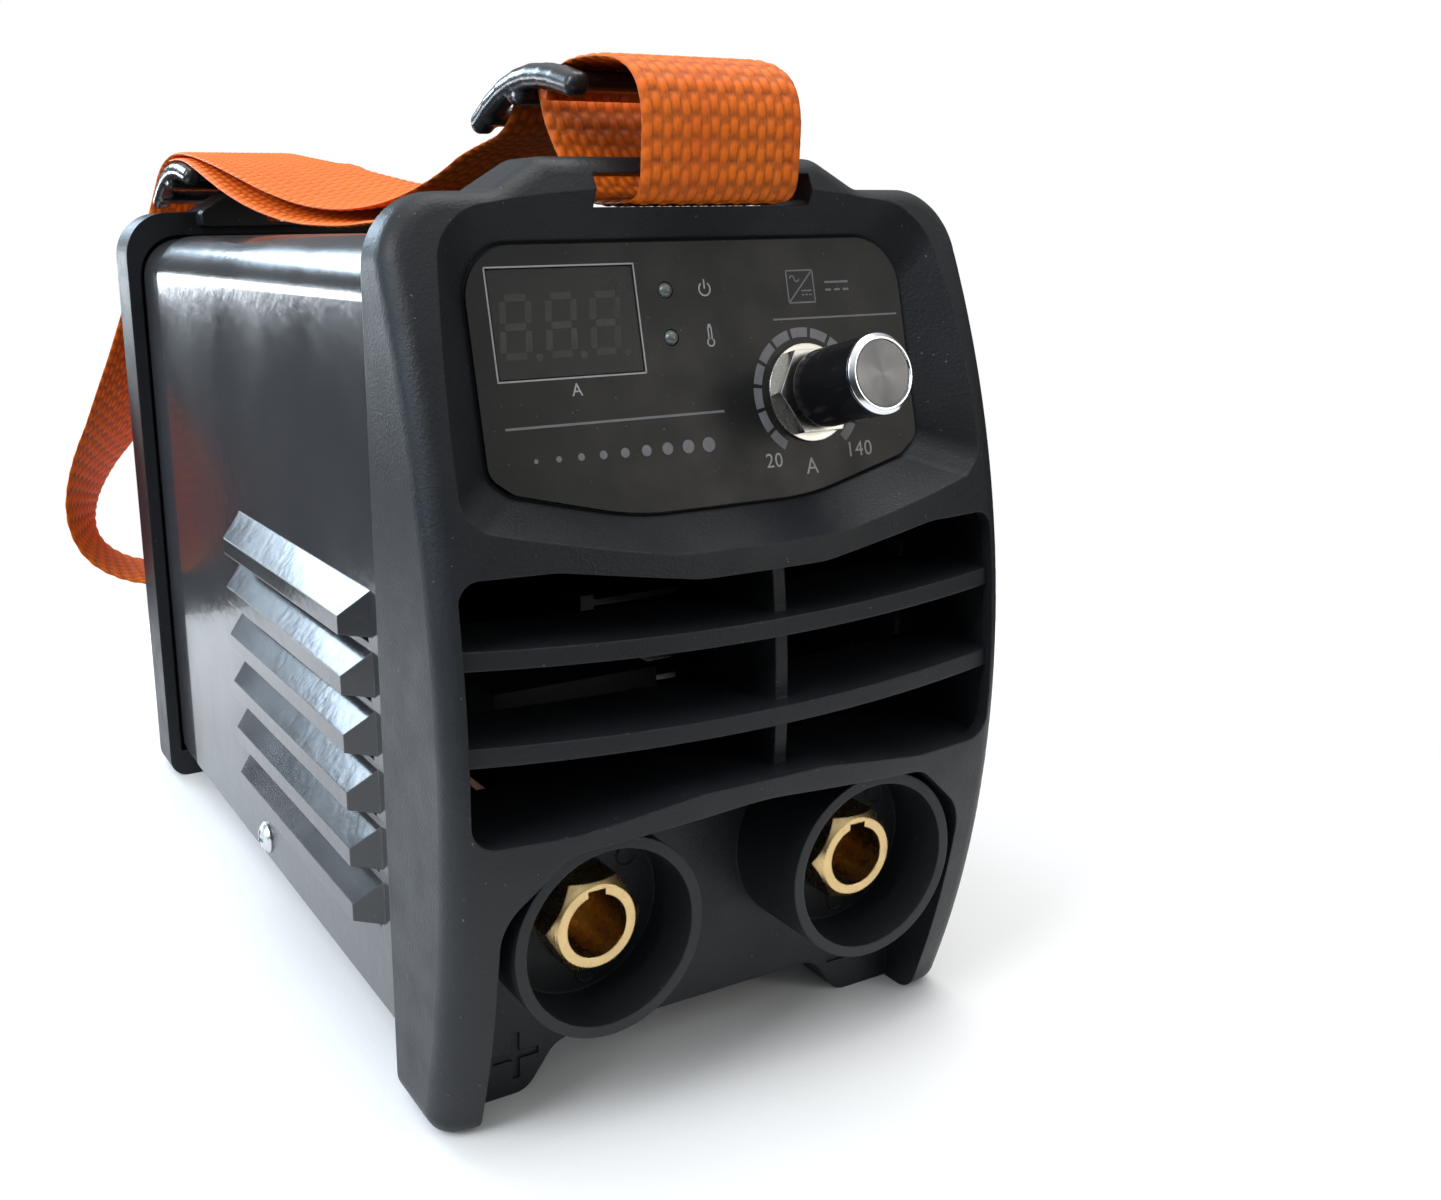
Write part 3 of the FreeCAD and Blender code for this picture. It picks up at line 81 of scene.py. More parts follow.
def stage():
    camera = bpy.data.objects.new("camera", bpy.data.cameras.new("camera"))
    scene.collection.objects.link(camera)
    swing, dip, roll = (math.radians(a) for a in (-27.06, 14.98, -0.93))
    turn = (Matrix.Rotation(swing, 4, "Z") @ Matrix.Rotation(math.radians(90) - dip, 4, "X")
            @ Matrix.Rotation(roll, 4, "Z"))
    camera.matrix_world = Matrix.Translation((-0.15081, -0.32467, 0.17040)) @ turn
    camera.data.lens = 34.53
    camera.data.sensor_width = 36.0
    camera.data.sensor_fit = "HORIZONTAL"
    camera.data.shift_x = 0.1322
    camera.data.clip_start = 0.01
    scene.camera = camera
    scene.view_settings.view_transform = "Standard"

    world = bpy.data.worlds.new("studio")
    world.use_nodes = True
    scene.world = world
    tree = world.node_tree
    tree.nodes.clear()
    out = add(tree, "OutputWorld")
    ray = add(tree, "LightPath")
    seen = add(tree, "Background", {"Color": (1.0, 1.0, 1.0, 1), "Strength": 1.0})
    # the studio is bright overhead and dim round its walls
    height = add(tree, "SeparateXYZ", {0: add(tree, "TexCoord").outputs["Generated"]}).outputs[2]
    steep = add(tree, "Math", {0: height, 1: 1.6}, operation="POWER").outputs[0]
    overhead = add(tree, "MapRange", {"Value": steep, 1: 0.0, 2: 1.0, 3: 0.05, 4: 1.55})
    light = add(tree, "Background", {"Color": (0.93, 0.965, 1.0, 1), "Strength": overhead.outputs[0]})
    mix = add(tree, "MixShader", {0: ray.outputs["Is Camera Ray"], 1: light.outputs[0], 2: seen.outputs[0]})
    tree.links.new(mix.outputs[0], out.inputs[0])

    for name, place, aim, size, energy, colour in (
            ("key", (-1.15, -0.30, 1.0), (0, 0, 0.1), (0.7, 0.7), 12, (0.98, 0.99, 1.0)),
            ("window", (-0.36, 1.10, 0.62), (0, 0, 0.1), (0.5, 0.28), 8, (0.66, 0.83, 1.0)),
            ("strip", (-0.60, 1.10, 0.17), (0, 0, 0.08), (1.0, 0.10), 4, (0.85, 0.93, 1.0)),
            ("left", (-1.25, 0.05, 0.45), (0, 0, 0.1), (0.8, 0.6), 7, (0.60, 0.79, 1.0)),
            ("top", (0.25, 0.05, 1.2), (0, 0, 0.1), (0.7, 0.7), 5, (1.0, 0.97, 0.93)),
            ("front", (0.75, -1.1, 0.35), (0, -0.1, 0.09), (0.35, 0.7), 2.5, (1.0, 0.95, 0.88))):
        lamp = bpy.data.lights.new(name, "AREA")
        lamp.shape = "RECTANGLE"
        lamp.size, lamp.size_y = size
        lamp.energy = energy
        lamp.color = colour
        made = bpy.data.objects.new(name, lamp)
        made.location = place
        made.rotation_euler = (Vector(aim) - Vector(place)).to_track_quat("-Z", "Y").to_euler()
        scene.collection.objects.link(made)

    floor_mesh = bpy.data.meshes.new("floor")
    half = FLOOR_HALF
    floor_mesh.from_pydata([(-half, -half, 0), (half, -half, 0), (half, half, 0), (-half, half, 0)], [],
                           [(0, 1, 2, 3)])
    floor = bpy.data.objects.new("floor", floor_mesh)
    scene.collection.objects.link(floor)
    floor_mesh.materials.append(surface("floor_paper", (0.90, 0.895, 0.885), 0.6, mottle=0.02, mottle_scale=9,
                                        grain=(900, 0.00003)))


# ---------------------------------------------------------------- materials


def add(tree, kind, inputs=None, **props):
    """A shader node, with its properties and inputs set or linked."""
    node = tree.nodes.new("ShaderNode" + kind)
    for key, value in props.items():
        setattr(node, key, value)
    for key, value in (inputs or {}).items():
        if isinstance(value, bpy.types.NodeSocket):
            tree.links.new(value, node.inputs[key])
        else:
            node.inputs[key].default_value = value
    return node


def shade(colour, by):
    """A colour made lighter or darker by a factor."""
    return (*[min(1.0, max(0.0, c * by)) for c in colour], 1)


def noise(tree, where, scale, detail=3.0, stretch=None):
    """A noise texture's value at a scale per metre, drawn out along an axis if asked."""
    if stretch is not None:
        where = add(tree, "Mapping", {"Vector": where, "Scale": stretch}).outputs[0]
    sizes = {"Vector": where, "Scale": scale, "Detail": detail, "Roughness": 0.55}
    return add(tree, "TexNoise", sizes).outputs[0]


def remap(tree, value, low, high, to_low, to_high):
    return add(tree, "MapRange", {"Value": value, 1: low, 2: high, 3: to_low, 4: to_high}).outputs[0]


def blend(tree, share, first, second):
    """Two colours mixed by a share."""
    mixed = add(tree, "Mix", data_type="RGBA")
    for index, value in ((0, share), (6, first), (7, second)):
        if isinstance(value, bpy.types.NodeSocket):
            tree.links.new(value, mixed.inputs[index])
        else:
            mixed.inputs[index].default_value = value
    return mixed.outputs[2]


def surface(name, colour, rough, metallic=0.0, ior=1.5, coat=0.0, coat_rough=0.08, alpha=1.0,
            mottle=0.12, mottle_scale=45, rough_spread=0.06, grain=None, fine=None, brushed=None, edge_wear_and_highlight=None,
            dust=None, edge=None, aniso=0.0):
    """A finish: mottled colour, uneven gloss, grain or brushing in relief, lighter edges that are partly wear
    and partly a painted highlight, and dust.
    """
    made = bpy.data.materials.new(name)
    made.use_nodes = True
    tree = made.node_tree
    tree.nodes.clear()
    out = add(tree, "OutputMaterial")
    where = add(tree, "TexCoord").outputs["Object"]
    cloud = noise(tree, where, mottle_scale, 4)
    clouded = remap(tree, cloud, 0.3, 0.7, 0, 1)
    tint = blend(tree, clouded, shade(colour, 1 - mottle), shade(colour, 1 + mottle))
    gloss = remap(tree, noise(tree, where, mottle_scale * 2.3, 5), 0.3, 0.7, rough - rough_spread,
                  rough + rough_spread)
    if dust:
        specks = noise(tree, where, dust[0], 1)
        share = remap(tree, specks, dust[1], dust[1] + 0.03, 0, dust[2])
        tint = blend(tree, share, tint, (0.55, 0.52, 0.47, 1))
    height = None
    if grain:
        height = add(tree, "Bump", {"Height": noise(tree, where, grain[0], 2), "Strength": 1.0,
                                    "Distance": grain[1]})
    if fine:
        second = add(tree, "Bump", {"Height": noise(tree, where, fine[0], 2), "Strength": 1.0,
                                    "Distance": fine[1]})
        if height:
            tree.links.new(height.outputs[0], second.inputs["Normal"])
        height = second
    if brushed:
        lines = noise(tree, where, brushed[0], 3, brushed[2])
        third = add(tree, "Bump", {"Height": lines, "Strength": 1.0, "Distance": brushed[1]})
        if height:
            tree.links.new(height.outputs[0], third.inputs["Normal"])
        height = third
        tint = blend(tree, remap(tree, lines, 0.35, 0.65, 0, 1), shade(colour, 1 - mottle), tint)
    if edge:
        round_edge = add(tree, "Bevel", {"Radius": edge}, samples=4)
        # lighter colour along every edge: partly wear, partly a painted edge highlight
        if edge_wear_and_highlight:
            flat = add(tree, "NewGeometry").outputs["Normal"]
            facing = add(tree, "VectorMath", {0: round_edge.outputs[0], 1: flat}, operation="DOT_PRODUCT")
            worn_and_highlit_edge = remap(tree, facing.outputs["Value"], 0.985, 0.93, 0, 1)
            broken = remap(tree, noise(tree, where, 220, 4), 0.42, 0.62, 0, edge_wear_and_highlight[1])
            both = add(tree, "Math", {0: worn_and_highlit_edge, 1: broken}, operation="MULTIPLY").outputs[0]
            tint = blend(tree, both, tint, (*edge_wear_and_highlight[0], 1))
        if height:
            # the rounded edge comes first, and the grain lies on it
            first = height
            while first.inputs["Normal"].is_linked:
                first = first.inputs["Normal"].links[0].from_node
            tree.links.new(round_edge.outputs[0], first.inputs["Normal"])
        else:
            height = round_edge
    shader = add(tree, "BsdfPrincipled", {
        "Base Color": tint, "Roughness": gloss, "Metallic": metallic, "IOR": ior, "Coat Weight": coat,
        "Coat Roughness": coat_rough, "Alpha": alpha, "Anisotropic": aniso})
    if height:
        tree.links.new(height.outputs[0], shader.inputs["Normal"])
    tree.links.new(shader.outputs[0], out.inputs[0])
    return made


def webbing():
    """Woven orange webbing: painted shade darkens it between its yarns, with fibres that run along each one.
    """
    made = bpy.data.materials.new("orange_webbing")
    made.use_nodes = True
    tree = made.node_tree
    tree.nodes.clear()
    out = add(tree, "OutputMaterial")
    relief = add(tree, "Attribute", attribute_name="relief").outputs["Fac"]
    along = add(tree, "UVMap", uv_map="weave").outputs[0]
    fibre = noise(tree, along, 1.0, 3, (700, 5200, 1))
    faded = noise(tree, along, 1.0, 3, (22, 60, 1))
    # painted shade: the colour darkens towards the dips between yarns, by the relief of each point
    raised = remap(tree, relief, 0.05, 0.75, 0, 1)
    dip_shade = blend(tree, raised, (0.13, 0.010, 0.001, 1), (0.86, 0.150, 0.004, 1))
    lit = blend(tree, remap(tree, fibre, 0.35, 0.7, 0, 0.55), dip_shade, (0.98, 0.26, 0.018, 1))
    tint = blend(tree, remap(tree, faded, 0.35, 0.7, 0, 0.35), lit, (0.66, 0.085, 0.002, 1))
    bump = add(tree, "Bump", {"Height": fibre, "Strength": 0.8, "Distance": 0.00012})
    shader = add(tree, "BsdfPrincipled", {
        "Base Color": tint, "Roughness": remap(tree, fibre, 0.3, 0.7, 0.46, 0.66), "Normal": bump.outputs[0],
        "IOR": 1.36})
    tree.links.new(shader.outputs[0], out.inputs[0])
    return made


def spun():
    """Dark anodised aluminium with the fine rings of its turning."""
    made = surface("spun_face", (0.16, 0.16, 0.165), 0.30, metallic=1.0, mottle=0.04, aniso=0.9)
    tree = made.node_tree
    shader = next(n for n in tree.nodes if n.type == "BSDF_PRINCIPLED")
    tangent = add(tree, "Tangent", direction_type="UV_MAP", uv_map="turning")
    tree.links.new(tangent.outputs[0], shader.inputs["Tangent"])
    return made


SATIN_BLACK = (0.012, 0.012, 0.013)
FINISHES = {
    "panel_plastic": dict(colour=(0.012, 0.0135, 0.016), rough=0.43, ior=1.34, grain=(1500, 0.00008),
                          fine=(4200, 0.00003), edge=0.0005, edge_wear_and_highlight=((0.07, 0.07, 0.07), 0.3),
                          dust=(1100, 0.77, 0.18), mottle=0.10),
    "cover_paint": dict(colour=(0.033, 0.034, 0.037), rough=0.19, ior=1.38, coat=0.15, coat_rough=0.06,
                        grain=(260, 0.00006), edge=0.0005, mottle=0.06, mottle_scale=14, rough_spread=0.05,
                        edge_wear_and_highlight=((0.20, 0.19, 0.18), 0.25), dust=(900, 0.78, 0.12)),
    "base_steel": dict(colour=(0.020, 0.020, 0.021), rough=0.42, grain=(1200, 0.00005), edge=0.0003),
    "label_film": dict(colour=(0.0125, 0.0125, 0.0125), rough=0.36, ior=1.32, grain=(1300, 0.00001),
                       mottle=0.10, dust=(1500, 0.76, 0.16)),
    "display_black": dict(colour=(0.010, 0.0105, 0.0105), rough=0.5, ior=1.3, mottle=0.05),
    "digit_plastic": dict(colour=(0.17, 0.175, 0.165), rough=0.5, mottle=0.05, mottle_scale=300),
    "display_film": dict(colour=(0.050, 0.052, 0.048), rough=0.34, ior=1.3, alpha=0.5, mottle=0.05),
    "lamp_lens": dict(colour=(0.11, 0.13, 0.12), rough=0.25, coat=0.5, mottle=0.1, mottle_scale=400,
                      grain=(2500, 0.00003)),
    "board_green": dict(colour=(0.012, 0.085, 0.035), rough=0.35, coat=0.3, mottle=0.3, mottle_scale=180,
                        grain=(600, 0.00004)),
    "nylon_black": dict(colour=(0.02, 0.02, 0.022), rough=0.5, grain=(1500, 0.00004)),
    "knob_black": dict(colour=(0.006, 0.006, 0.007), rough=0.16, coat=0.5, coat_rough=0.04, mottle=0.2,
                       mottle_scale=120, grain=(500, 0.00001)),
    "knob_silver": dict(colour=(0.72, 0.73, 0.75), rough=0.14, metallic=1.0, mottle=0.04, rough_spread=0.04,
                        brushed=(1.0, 0.000008, (300, 6000, 6000))),
    "nickel": dict(colour=(0.52, 0.51, 0.48), rough=0.30, metallic=1.0, mottle=0.10, grain=(700, 0.00002),
                   edge=0.0003),
    "zinc_steel": dict(colour=(0.60, 0.61, 0.62), rough=0.32, metallic=1.0, mottle=0.16, mottle_scale=260,
                       grain=(900, 0.00003), edge=0.00025, rough_spread=0.1),
    "brass": dict(colour=(0.62, 0.45, 0.22), rough=0.27, metallic=1.0, mottle=0.10, mottle_scale=150,
                  brushed=(1.0, 0.00002, (120, 3600, 120)), edge=0.0004, rough_spread=0.08),
    "copper": dict(colour=(0.66, 0.30, 0.16), rough=0.34, metallic=1.0, mottle=0.15, edge=0.0003,
                   brushed=(1.0, 0.00002, (300, 2500, 300))),
    "sink_aluminium": dict(colour=(0.62, 0.63, 0.64), rough=0.38, metallic=1.0, mottle=0.08, edge=0.0003,
                           brushed=(1.0, 0.00003, (2500, 90, 2500))),
    "epoxy_black": dict(colour=(0.018, 0.018, 0.018), rough=0.55, grain=(1800, 0.00005), edge=0.0003),
    "capacitor_sleeve": dict(colour=(0.012, 0.022, 0.09), rough=0.22, coat=0.3, mottle=0.1,
                             grain=(300, 0.00005)),
    "ferrite": dict(colour=(0.045, 0.045, 0.05), rough=0.6, metallic=0.3, grain=(1500, 0.00008), edge=0.0004),
    "relay_case": dict(colour=(0.02, 0.10, 0.36), rough=0.3, mottle=0.08, grain=(900, 0.00002), edge=0.0003),
    "fan_plastic": dict(colour=SATIN_BLACK, rough=0.42, grain=(1400, 0.00004), edge=0.0003),
    "switch_black": dict(colour=SATIN_BLACK, rough=0.30, grain=(1600, 0.00003), edge=0.0004),
    "rocker_red": dict(colour=(0.52, 0.012, 0.010), rough=0.28, coat=0.3, mottle=0.06, grain=(1200, 0.00002),
                       edge=0.0005),
    "gland_nylon": dict(colour=(0.015, 0.015, 0.016), rough=0.42, grain=(1500, 0.00004), edge=0.0005),
    "seal_rubber": dict(colour=(0.02, 0.02, 0.02), rough=0.7, grain=(1500, 0.00006)),
    "buckle_plastic": dict(colour=(0.020, 0.021, 0.024), rough=0.26, grain=(1500, 0.00003), mottle=0.15),
}
MATERIALS = {slot: surface(slot + "_finish", **finish) for slot, finish in FINISHES.items()}
MATERIALS["webbing"] = webbing()
MATERIALS["knob_dark"] = spun()
# dark foam for the pieces that stand in as painted shade inside the case
SHADE_FOAM = surface("filter_foam", (0.012, 0.012, 0.012), 0.85, mottle=0.6, mottle_scale=900, grain=(1400, 0.0006))
INK = surface("print_ink", (0.33, 0.33, 0.34), 0.5, mottle=0.10, mottle_scale=500, grain=(3000, 0.000006))
INK_DIM = surface("print_ink_dim", (0.15, 0.15, 0.16), 0.5, mottle=0.10, mottle_scale=500,
                  grain=(3000, 0.000006))
INK_WHITE = surface("switch_ink", (0.78, 0.78, 0.76), 0.45, mottle=0.05, mottle_scale=500,
                    grain=(3000, 0.000006))


# ---------------------------------------------------------------- mesh helpers


def new_piece(name, points, faces, material, body="housing", smooth=True):
    """A mesh object with a finish, riding on a body."""
    mesh = bpy.data.meshes.new(name)
    mesh.from_pydata([tuple(p) for p in points], [], faces)
    mesh.validate()
    mesh.polygons.foreach_set("use_smooth", [smooth] * len(mesh.polygons))
    mesh.materials.append(material)
    made = bpy.data.objects.new(name, mesh)
    scene.collection.objects.link(made)
    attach(made, body)
    return made


def apply_modifiers(made):
    """Turn an object's modifiers into its mesh."""
    graph = bpy.context.evaluated_depsgraph_get()
    mesh = bpy.data.meshes.new_from_object(made.evaluated_get(graph), depsgraph=graph)
    made.modifiers.clear()
    made.data = mesh


def lathe(name, base, axis, profile, material, body, turning=False):
    """A turned piece: (radius, height) in millimetres about an axis from a base point."""
    side = axis.orthogonal().normalized()
    up = axis.cross(side)
    steps = LATHE_STEPS
    points, faces = [], []
    for radius, height in profile:
        for k in range(steps):
            a = 2 * math.pi * k / steps
            points.append(base + (axis * height + (side * math.cos(a) + up * math.sin(a)) * radius) * MM)
    rows = len(profile)
    for r in range(rows - 1):
        for k in range(steps):
            n = (k + 1) % steps
            faces.append((r * steps + k, r * steps + n, (r + 1) * steps + n, (r + 1) * steps + k))
    for row, flip in ((0, True), (rows - 1, False)):
        points.append(base + axis * profile[row][1] * MM)
        tip = len(points) - 1
        for k in range(steps):
            n = (k + 1) % steps
            one, two = row * steps + k, row * steps + n
            faces.append((two, one, tip) if flip else (one, two, tip))
    made = new_piece(name, points, faces, material, body)
    if turning:
        layer = made.data.uv_layers.new(name="turning")
        for face in made.data.polygons:
            angles = []
            for i in face.loop_indices:
                p = made.data.vertices[made.data.loops[i].vertex_index].co - base
                angles.append(math.atan2(p.dot(up), p.dot(side)) / (2 * math.pi) % 1.0)
            if max(angles) - min(angles) > 0.5:
                angles = [a + 1 if a < 0.5 else a for a in angles]
            for i, a in zip(face.loop_indices, angles):
                p = made.data.vertices[made.data.loops[i].vertex_index].co - base
                radius = (p - axis * p.dot(axis)).length / (TURNING_UV * MM)
                layer.data[i].uv = (a if radius > 1e-6 else sum(angles[:2]) / 2, radius)
    return made


def rounded_profile(outline, radius, steps=5):
    """A lathe profile whose corners are rounded."""
    made = []
    for i, (r, h) in enumerate(outline):
        if i in (0, len(outline) - 1):
            made.append((r, h))
            continue
        here = Vector((r, h))
        before, after = Vector(outline[i - 1]) - here, Vector(outline[i + 1]) - here
        reach = min(radius, before.length * 0.45, after.length * 0.45)
        start, end = here + before.normalized() * reach, here + after.normalized() * reach
        for k in range(steps + 1):
            t = k / steps
            p = start * (1 - t) ** 2 + here * 2 * t * (1 - t) + end * t ** 2
            made.append((p.x, p.y))
    return made


# ---------------------------------------------------------------- the dial's knob


def knob():
    base = on_panel(*KNOB)
    outside = rounded_profile([(0.01, 4.7), (7.2, 4.7), (7.62, 5.6), (7.5, 21.2), (0.01, 21.2)], 0.35)
    body = lathe("dial_barrel", base, PANEL_OUT, outside, MATERIALS["knob_black"], "dial")
    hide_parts("knob_body")
    trim = rounded_profile([(6.3, 21.15), (7.5, 21.15), (7.5, 21.6), (6.72, 22.35), (6.3, 22.35),
                            (6.3, 21.9)], 0.1)
    ring = lathe("dial_trim", base, PANEL_OUT, trim, MATERIALS["knob_silver"], "dial")
    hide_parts("knob_ring")
    disc = [(6.28, 21.2), (6.28, 22.0), (6.2, 22.05)]
    rings = 30
    for i in range(rings, 0, -1):
        disc.append((0.01 + 6.0 * (i - 1) / (rings - 1), 21.97 + 0.004 * (i % 2)))
    face = lathe("dial_face", base, PANEL_OUT, disc, MATERIALS["knob_dark"], "dial",
                 turning=True)
    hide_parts("knob_face")


# ---------------------------------------------------------------- printed marks


class Print:
    """Flat marks in millimetres on a plane, gathered into one thin piece."""

    def __init__(self, place):
        self.place = place
        self.points = []
        self.faces = []

    def ring(self, outer, inner):
        """A band between two runs of as many points."""
        start = len(self.points)
        self.points += [*outer, *inner]
        n = len(outer)
        for k in range(n - 1):
            self.faces.append((start + k, start + k + 1, start + n + k + 1, start + n + k))

    def arc(self, x, y, radius, wide, first, last, steps=24):
        spots = [math.radians(first + (last - first) * k / steps) for k in range(steps + 1)]
        outer, inner = [[(x + math.cos(a) * r, y + math.sin(a) * r) for a in spots]
                        for r in (radius + wide / 2, radius - wide / 2)]
        self.ring(outer, inner)

    def line(self, *stops, wide=0.35):
        """A run of straight strokes."""
        for (ax, ay), (bx, by) in zip(stops, stops[1:]):
            run = Vector((bx - ax, by - ay)).normalized() * wide / 2
            side = Vector((-run.y, run.x))
            a, b = Vector((ax, ay)) - run, Vector((bx, by)) + run
            self.ring([tuple(a + side), tuple(b + side)], [tuple(a - side), tuple(b - side)])

    def disc(self, x, y, radius):
        start = len(self.points)
        steps = 20
        self.points += [(x + math.cos(2 * math.pi * k / steps) * radius,
                         y + math.sin(2 * math.pi * k / steps) * radius) for k in range(steps)]
        self.faces.append(tuple(range(start, start + steps)))

    def text(self, words, x, y, high):
        """Figures in the plain built-in face, centred on a point."""
        curve = bpy.data.curves.new("words", "FONT")
        curve.body = words
        curve.align_x, curve.align_y = "CENTER", "CENTER"
        curve.size = high / 0.69
        curve.space_character = 1.08
        made = bpy.data.objects.new("words", curve)
        scene.collection.objects.link(made)
        graph = bpy.context.evaluated_depsgraph_get()
        mesh = bpy.data.meshes.new_from_object(made.evaluated_get(graph), depsgraph=graph)
        low, top = min(v.co.y for v in mesh.vertices), max(v.co.y for v in mesh.vertices)
        start = len(self.points)
        self.points += [(x + v.co.x, y + v.co.y - (low + top) / 2) for v in mesh.vertices]
        self.faces += [tuple(start + i for i in f.vertices) for f in mesh.polygons]
        bpy.data.objects.remove(made)

    def make(self, name, material, body="housing", lift=0.03):
        points = [self.place(x, y, lift) for x, y in self.points]
        made = new_piece(name, points, self.faces, material, body, smooth=False)
        thick = made.modifiers.new("thick", "SOLIDIFY")
        thick.thickness = 0.02 * MM
        thick.offset = 0
        apply_modifiers(made)
        return made


def panel_print():
    marks = Print(on_panel)
    marks.line((-44.4, 2.7), (-13.9, 2.7), (-13.9, 22.9), (-44.4, 22.9), (-44.4, 2.7), wide=0.3)
    marks.text("A", -28.9, 0.55, 2.3)
    marks.text("20", 12.4, -15.9, 2.7)
    marks.text("140", 33.4, -15.3, 2.9)
    marks.text("A", 21.3, -17.7, 3.1)
    # a power sign and a thermometer beside the two lights
    marks.arc(1.2, 17.7, 1.25, 0.32, 125, 415)
    marks.line((1.2, 17.9), (1.2, 19.4), wide=0.32)
    marks.arc(1.2, 7.6, 0.75, 0.28, 60, 480)
    marks.line((0.85, 8.4), (0.85, 10.4), wide=0.28)
    marks.line((1.55, 8.4), (1.55, 10.4), wide=0.28)
    marks.line((1.2, 10.7), (1.2, 10.75), wide=0.6)
    marks.make("panel_figures", INK)

    dim = Print(on_panel)
    # the scale round the dial: a broad broken band that grows
    first, last, parts = 236.0, -56.0, 13
    for i in range(parts):
        a = first + (last - first) * i / parts
        b = first + (last - first) * (i + 0.84) / parts
        dim.arc(KNOB[0], KNOB[1], 11.9, 1.9, a, b, 8)
    # a converter sign: alternating current in, direct current out
    dim.line((20.6, 14.3), (27.0, 14.3), (27.0, 20.6), (20.6, 20.6), (20.6, 14.3), wide=0.28)
    dim.line((20.6, 14.3), (27.0, 20.6), wide=0.28)
    dim.arc(21.9, 19.0, 0.55, 0.26, 180, 0, 10)
    dim.arc(23.0, 19.0, 0.55, 0.26, 180, 360, 10)
    dim.line((24.0, 16.6), (26.2, 16.6), wide=0.26)
    for x in (24.05, 24.95, 25.85):
        dim.line((x, 15.8), (x + 0.3, 15.8), wide=0.26)
    # a plain direct current sign over the dial
    dim.line((30.0, 18.1), (35.4, 18.1), wide=0.42)
    for x in (30.0, 32.2, 34.4):
        dim.line((x, 16.6), (x + 1.0, 16.6), wide=0.42)
    dim.line((16.4, 11.2), (47.0, 11.2), wide=0.35)
    # a plain rule and a row of growing dots stand where a maker would sign
    dim.line((-44.0, -5.6), (2.0, -5.6), wide=0.45)
    for i in range(9):
        dim.disc(-39.0 + 4.6 * i, -11.6, 0.45 + 0.12 * i)
    dim.make("panel_scale", INK_DIM)


def rocker_marks():
    """An upright stroke and a ring on the two halves of the rocker."""
    low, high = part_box("power_switch_rocker")
    middle = (low.z + high.z) / 2 * 1000
    x0 = (low.x + high.x) / 2 * 1000
    surface_points = [v.co for v in nodes["power_switch_rocker"].data.vertices]

    def on_rocker(x, y, lift):
        """The rocker's own face at a place, from its nearest points."""
        target = Vector((x * MM, 0, (y + middle) * MM))
        near = sorted(surface_points, key=lambda p: (abs(p.z - target.z), -p.y))[:40]
        return Vector((target.x, max(p.y for p in near) + lift * MM, target.z))

    marks = Print(on_rocker)
    marks.line((x0, 4.2), (x0, 5.6), wide=0.5)
    marks.arc(x0, -4.6, 0.85, 0.4, 0, 360)
    marks.make("rocker_marks", INK_WHITE, "rocker", lift=0.05)


# ---------------------------------------------------------------- webbing strap

STRAP_ROUTE = [
    # x, y, z, then how far the webbing's width swings from X towards Y and how far it tips up
    (2.5, 40.0, 195.2, 0, 0), (2.5, 39.4, 197.4, 0, 0), (2.5, 37.2, 200.0, 0, 0), (2.5, 33.0, 201.5, 0, 0),
    (2.5, 27.0, 201.7, 0, 0), (2.5, 19.5, 201.3, 0, 0), (2.5, 12.0, 199.9, 0, 0), (2.5, 6.4, 196.4, 0, 0),
    (2.5, 4.1, 190.6, 0, 0), (2.5, 4.3, 184.0, 0, 0), (2.5, 4.6, 177.6, 0, 0), (2.5, 6.8, 175.0, 0, 0),
    (2.5, 14.0, 174.95, 0, 0), (2.5, 21.5, 175.1, 0, 0), (2.5, 27.8, 177.4, 0, 0), (2.5, 32.6, 181.6, 0, 0),
    (2.5, 37.4, 186.6, 0, 0), (2.5, 41.2, 191.6, 0, 0), (2.5, 43.0, 196.4, 0, 0), (2.5, 45.0, 199.6, 0, 0),
    (2.5, 49.0, 199.9, 0, 0), (2.5, 53.0, 197.4, 0, 0), (2.5, 56.5, 192.6, 0, 0), (2.5, 61.5, 190.0, 0, 0),
    (2.5, 68.0, 188.9, 0, 0), (1.0, 77.0, 186.0, -4, 0), (-3.0, 88.0, 181.5, -8, 3),
    (-8.0, 102.0, 178.6, -10, 5), (-13.0, 118.0, 178.0, -11, 6), (-17.0, 136.0, 179.6, -10, 6),
    (-20.5, 155.0, 183.0, -8, 5), (-23.0, 174.0, 187.0, -6, 3), (-24.5, 192.0, 190.2, -3, 1),
    (-25.0, 210.0, 192.8, 0, 0), (-25.2, 225.0, 194.6, 0, 0), (-25.6, 239.0, 194.6, 0, 0),
    (-26.4, 250.0, 190.6, 0, 0), (-28.0, 256.0, 181.0, 2, 0), (-32.5, 259.5, 166.0, 8, 2),
    (-40.0, 260.0, 149.0, 18, 4), (-50.5, 258.0, 131.0, 30, 6), (-63.0, 255.0, 113.0, 42, 6),
    (-74.5, 252.0, 96.5, 55, 4), (-79.0, 250.5, 82.5, 66, 2), (-75.5, 250.0, 69.5, 74, 0),
    (-63.0, 249.5, 61.0, 78, 0), (-47.0, 249.0, 60.0, 78, 0), (-33.0, 248.5, 67.0, 74, 0),
    (-24.0, 248.0, 82.0, 62, 0), (-20.5, 247.5, 98.0, 48, 0), (-19.5, 247.0, 116.0, 34, 0),
    (-20.0, 246.5, 134.0, 20, 0), (-21.5, 246.0, 150.0, 8, 0), (-23.0, 245.5, 163.0, 2, 0),
    (-24.0, 244.5, 172.0, 0, 0), (-24.5, 243.0, 177.0, 0, 0),
]
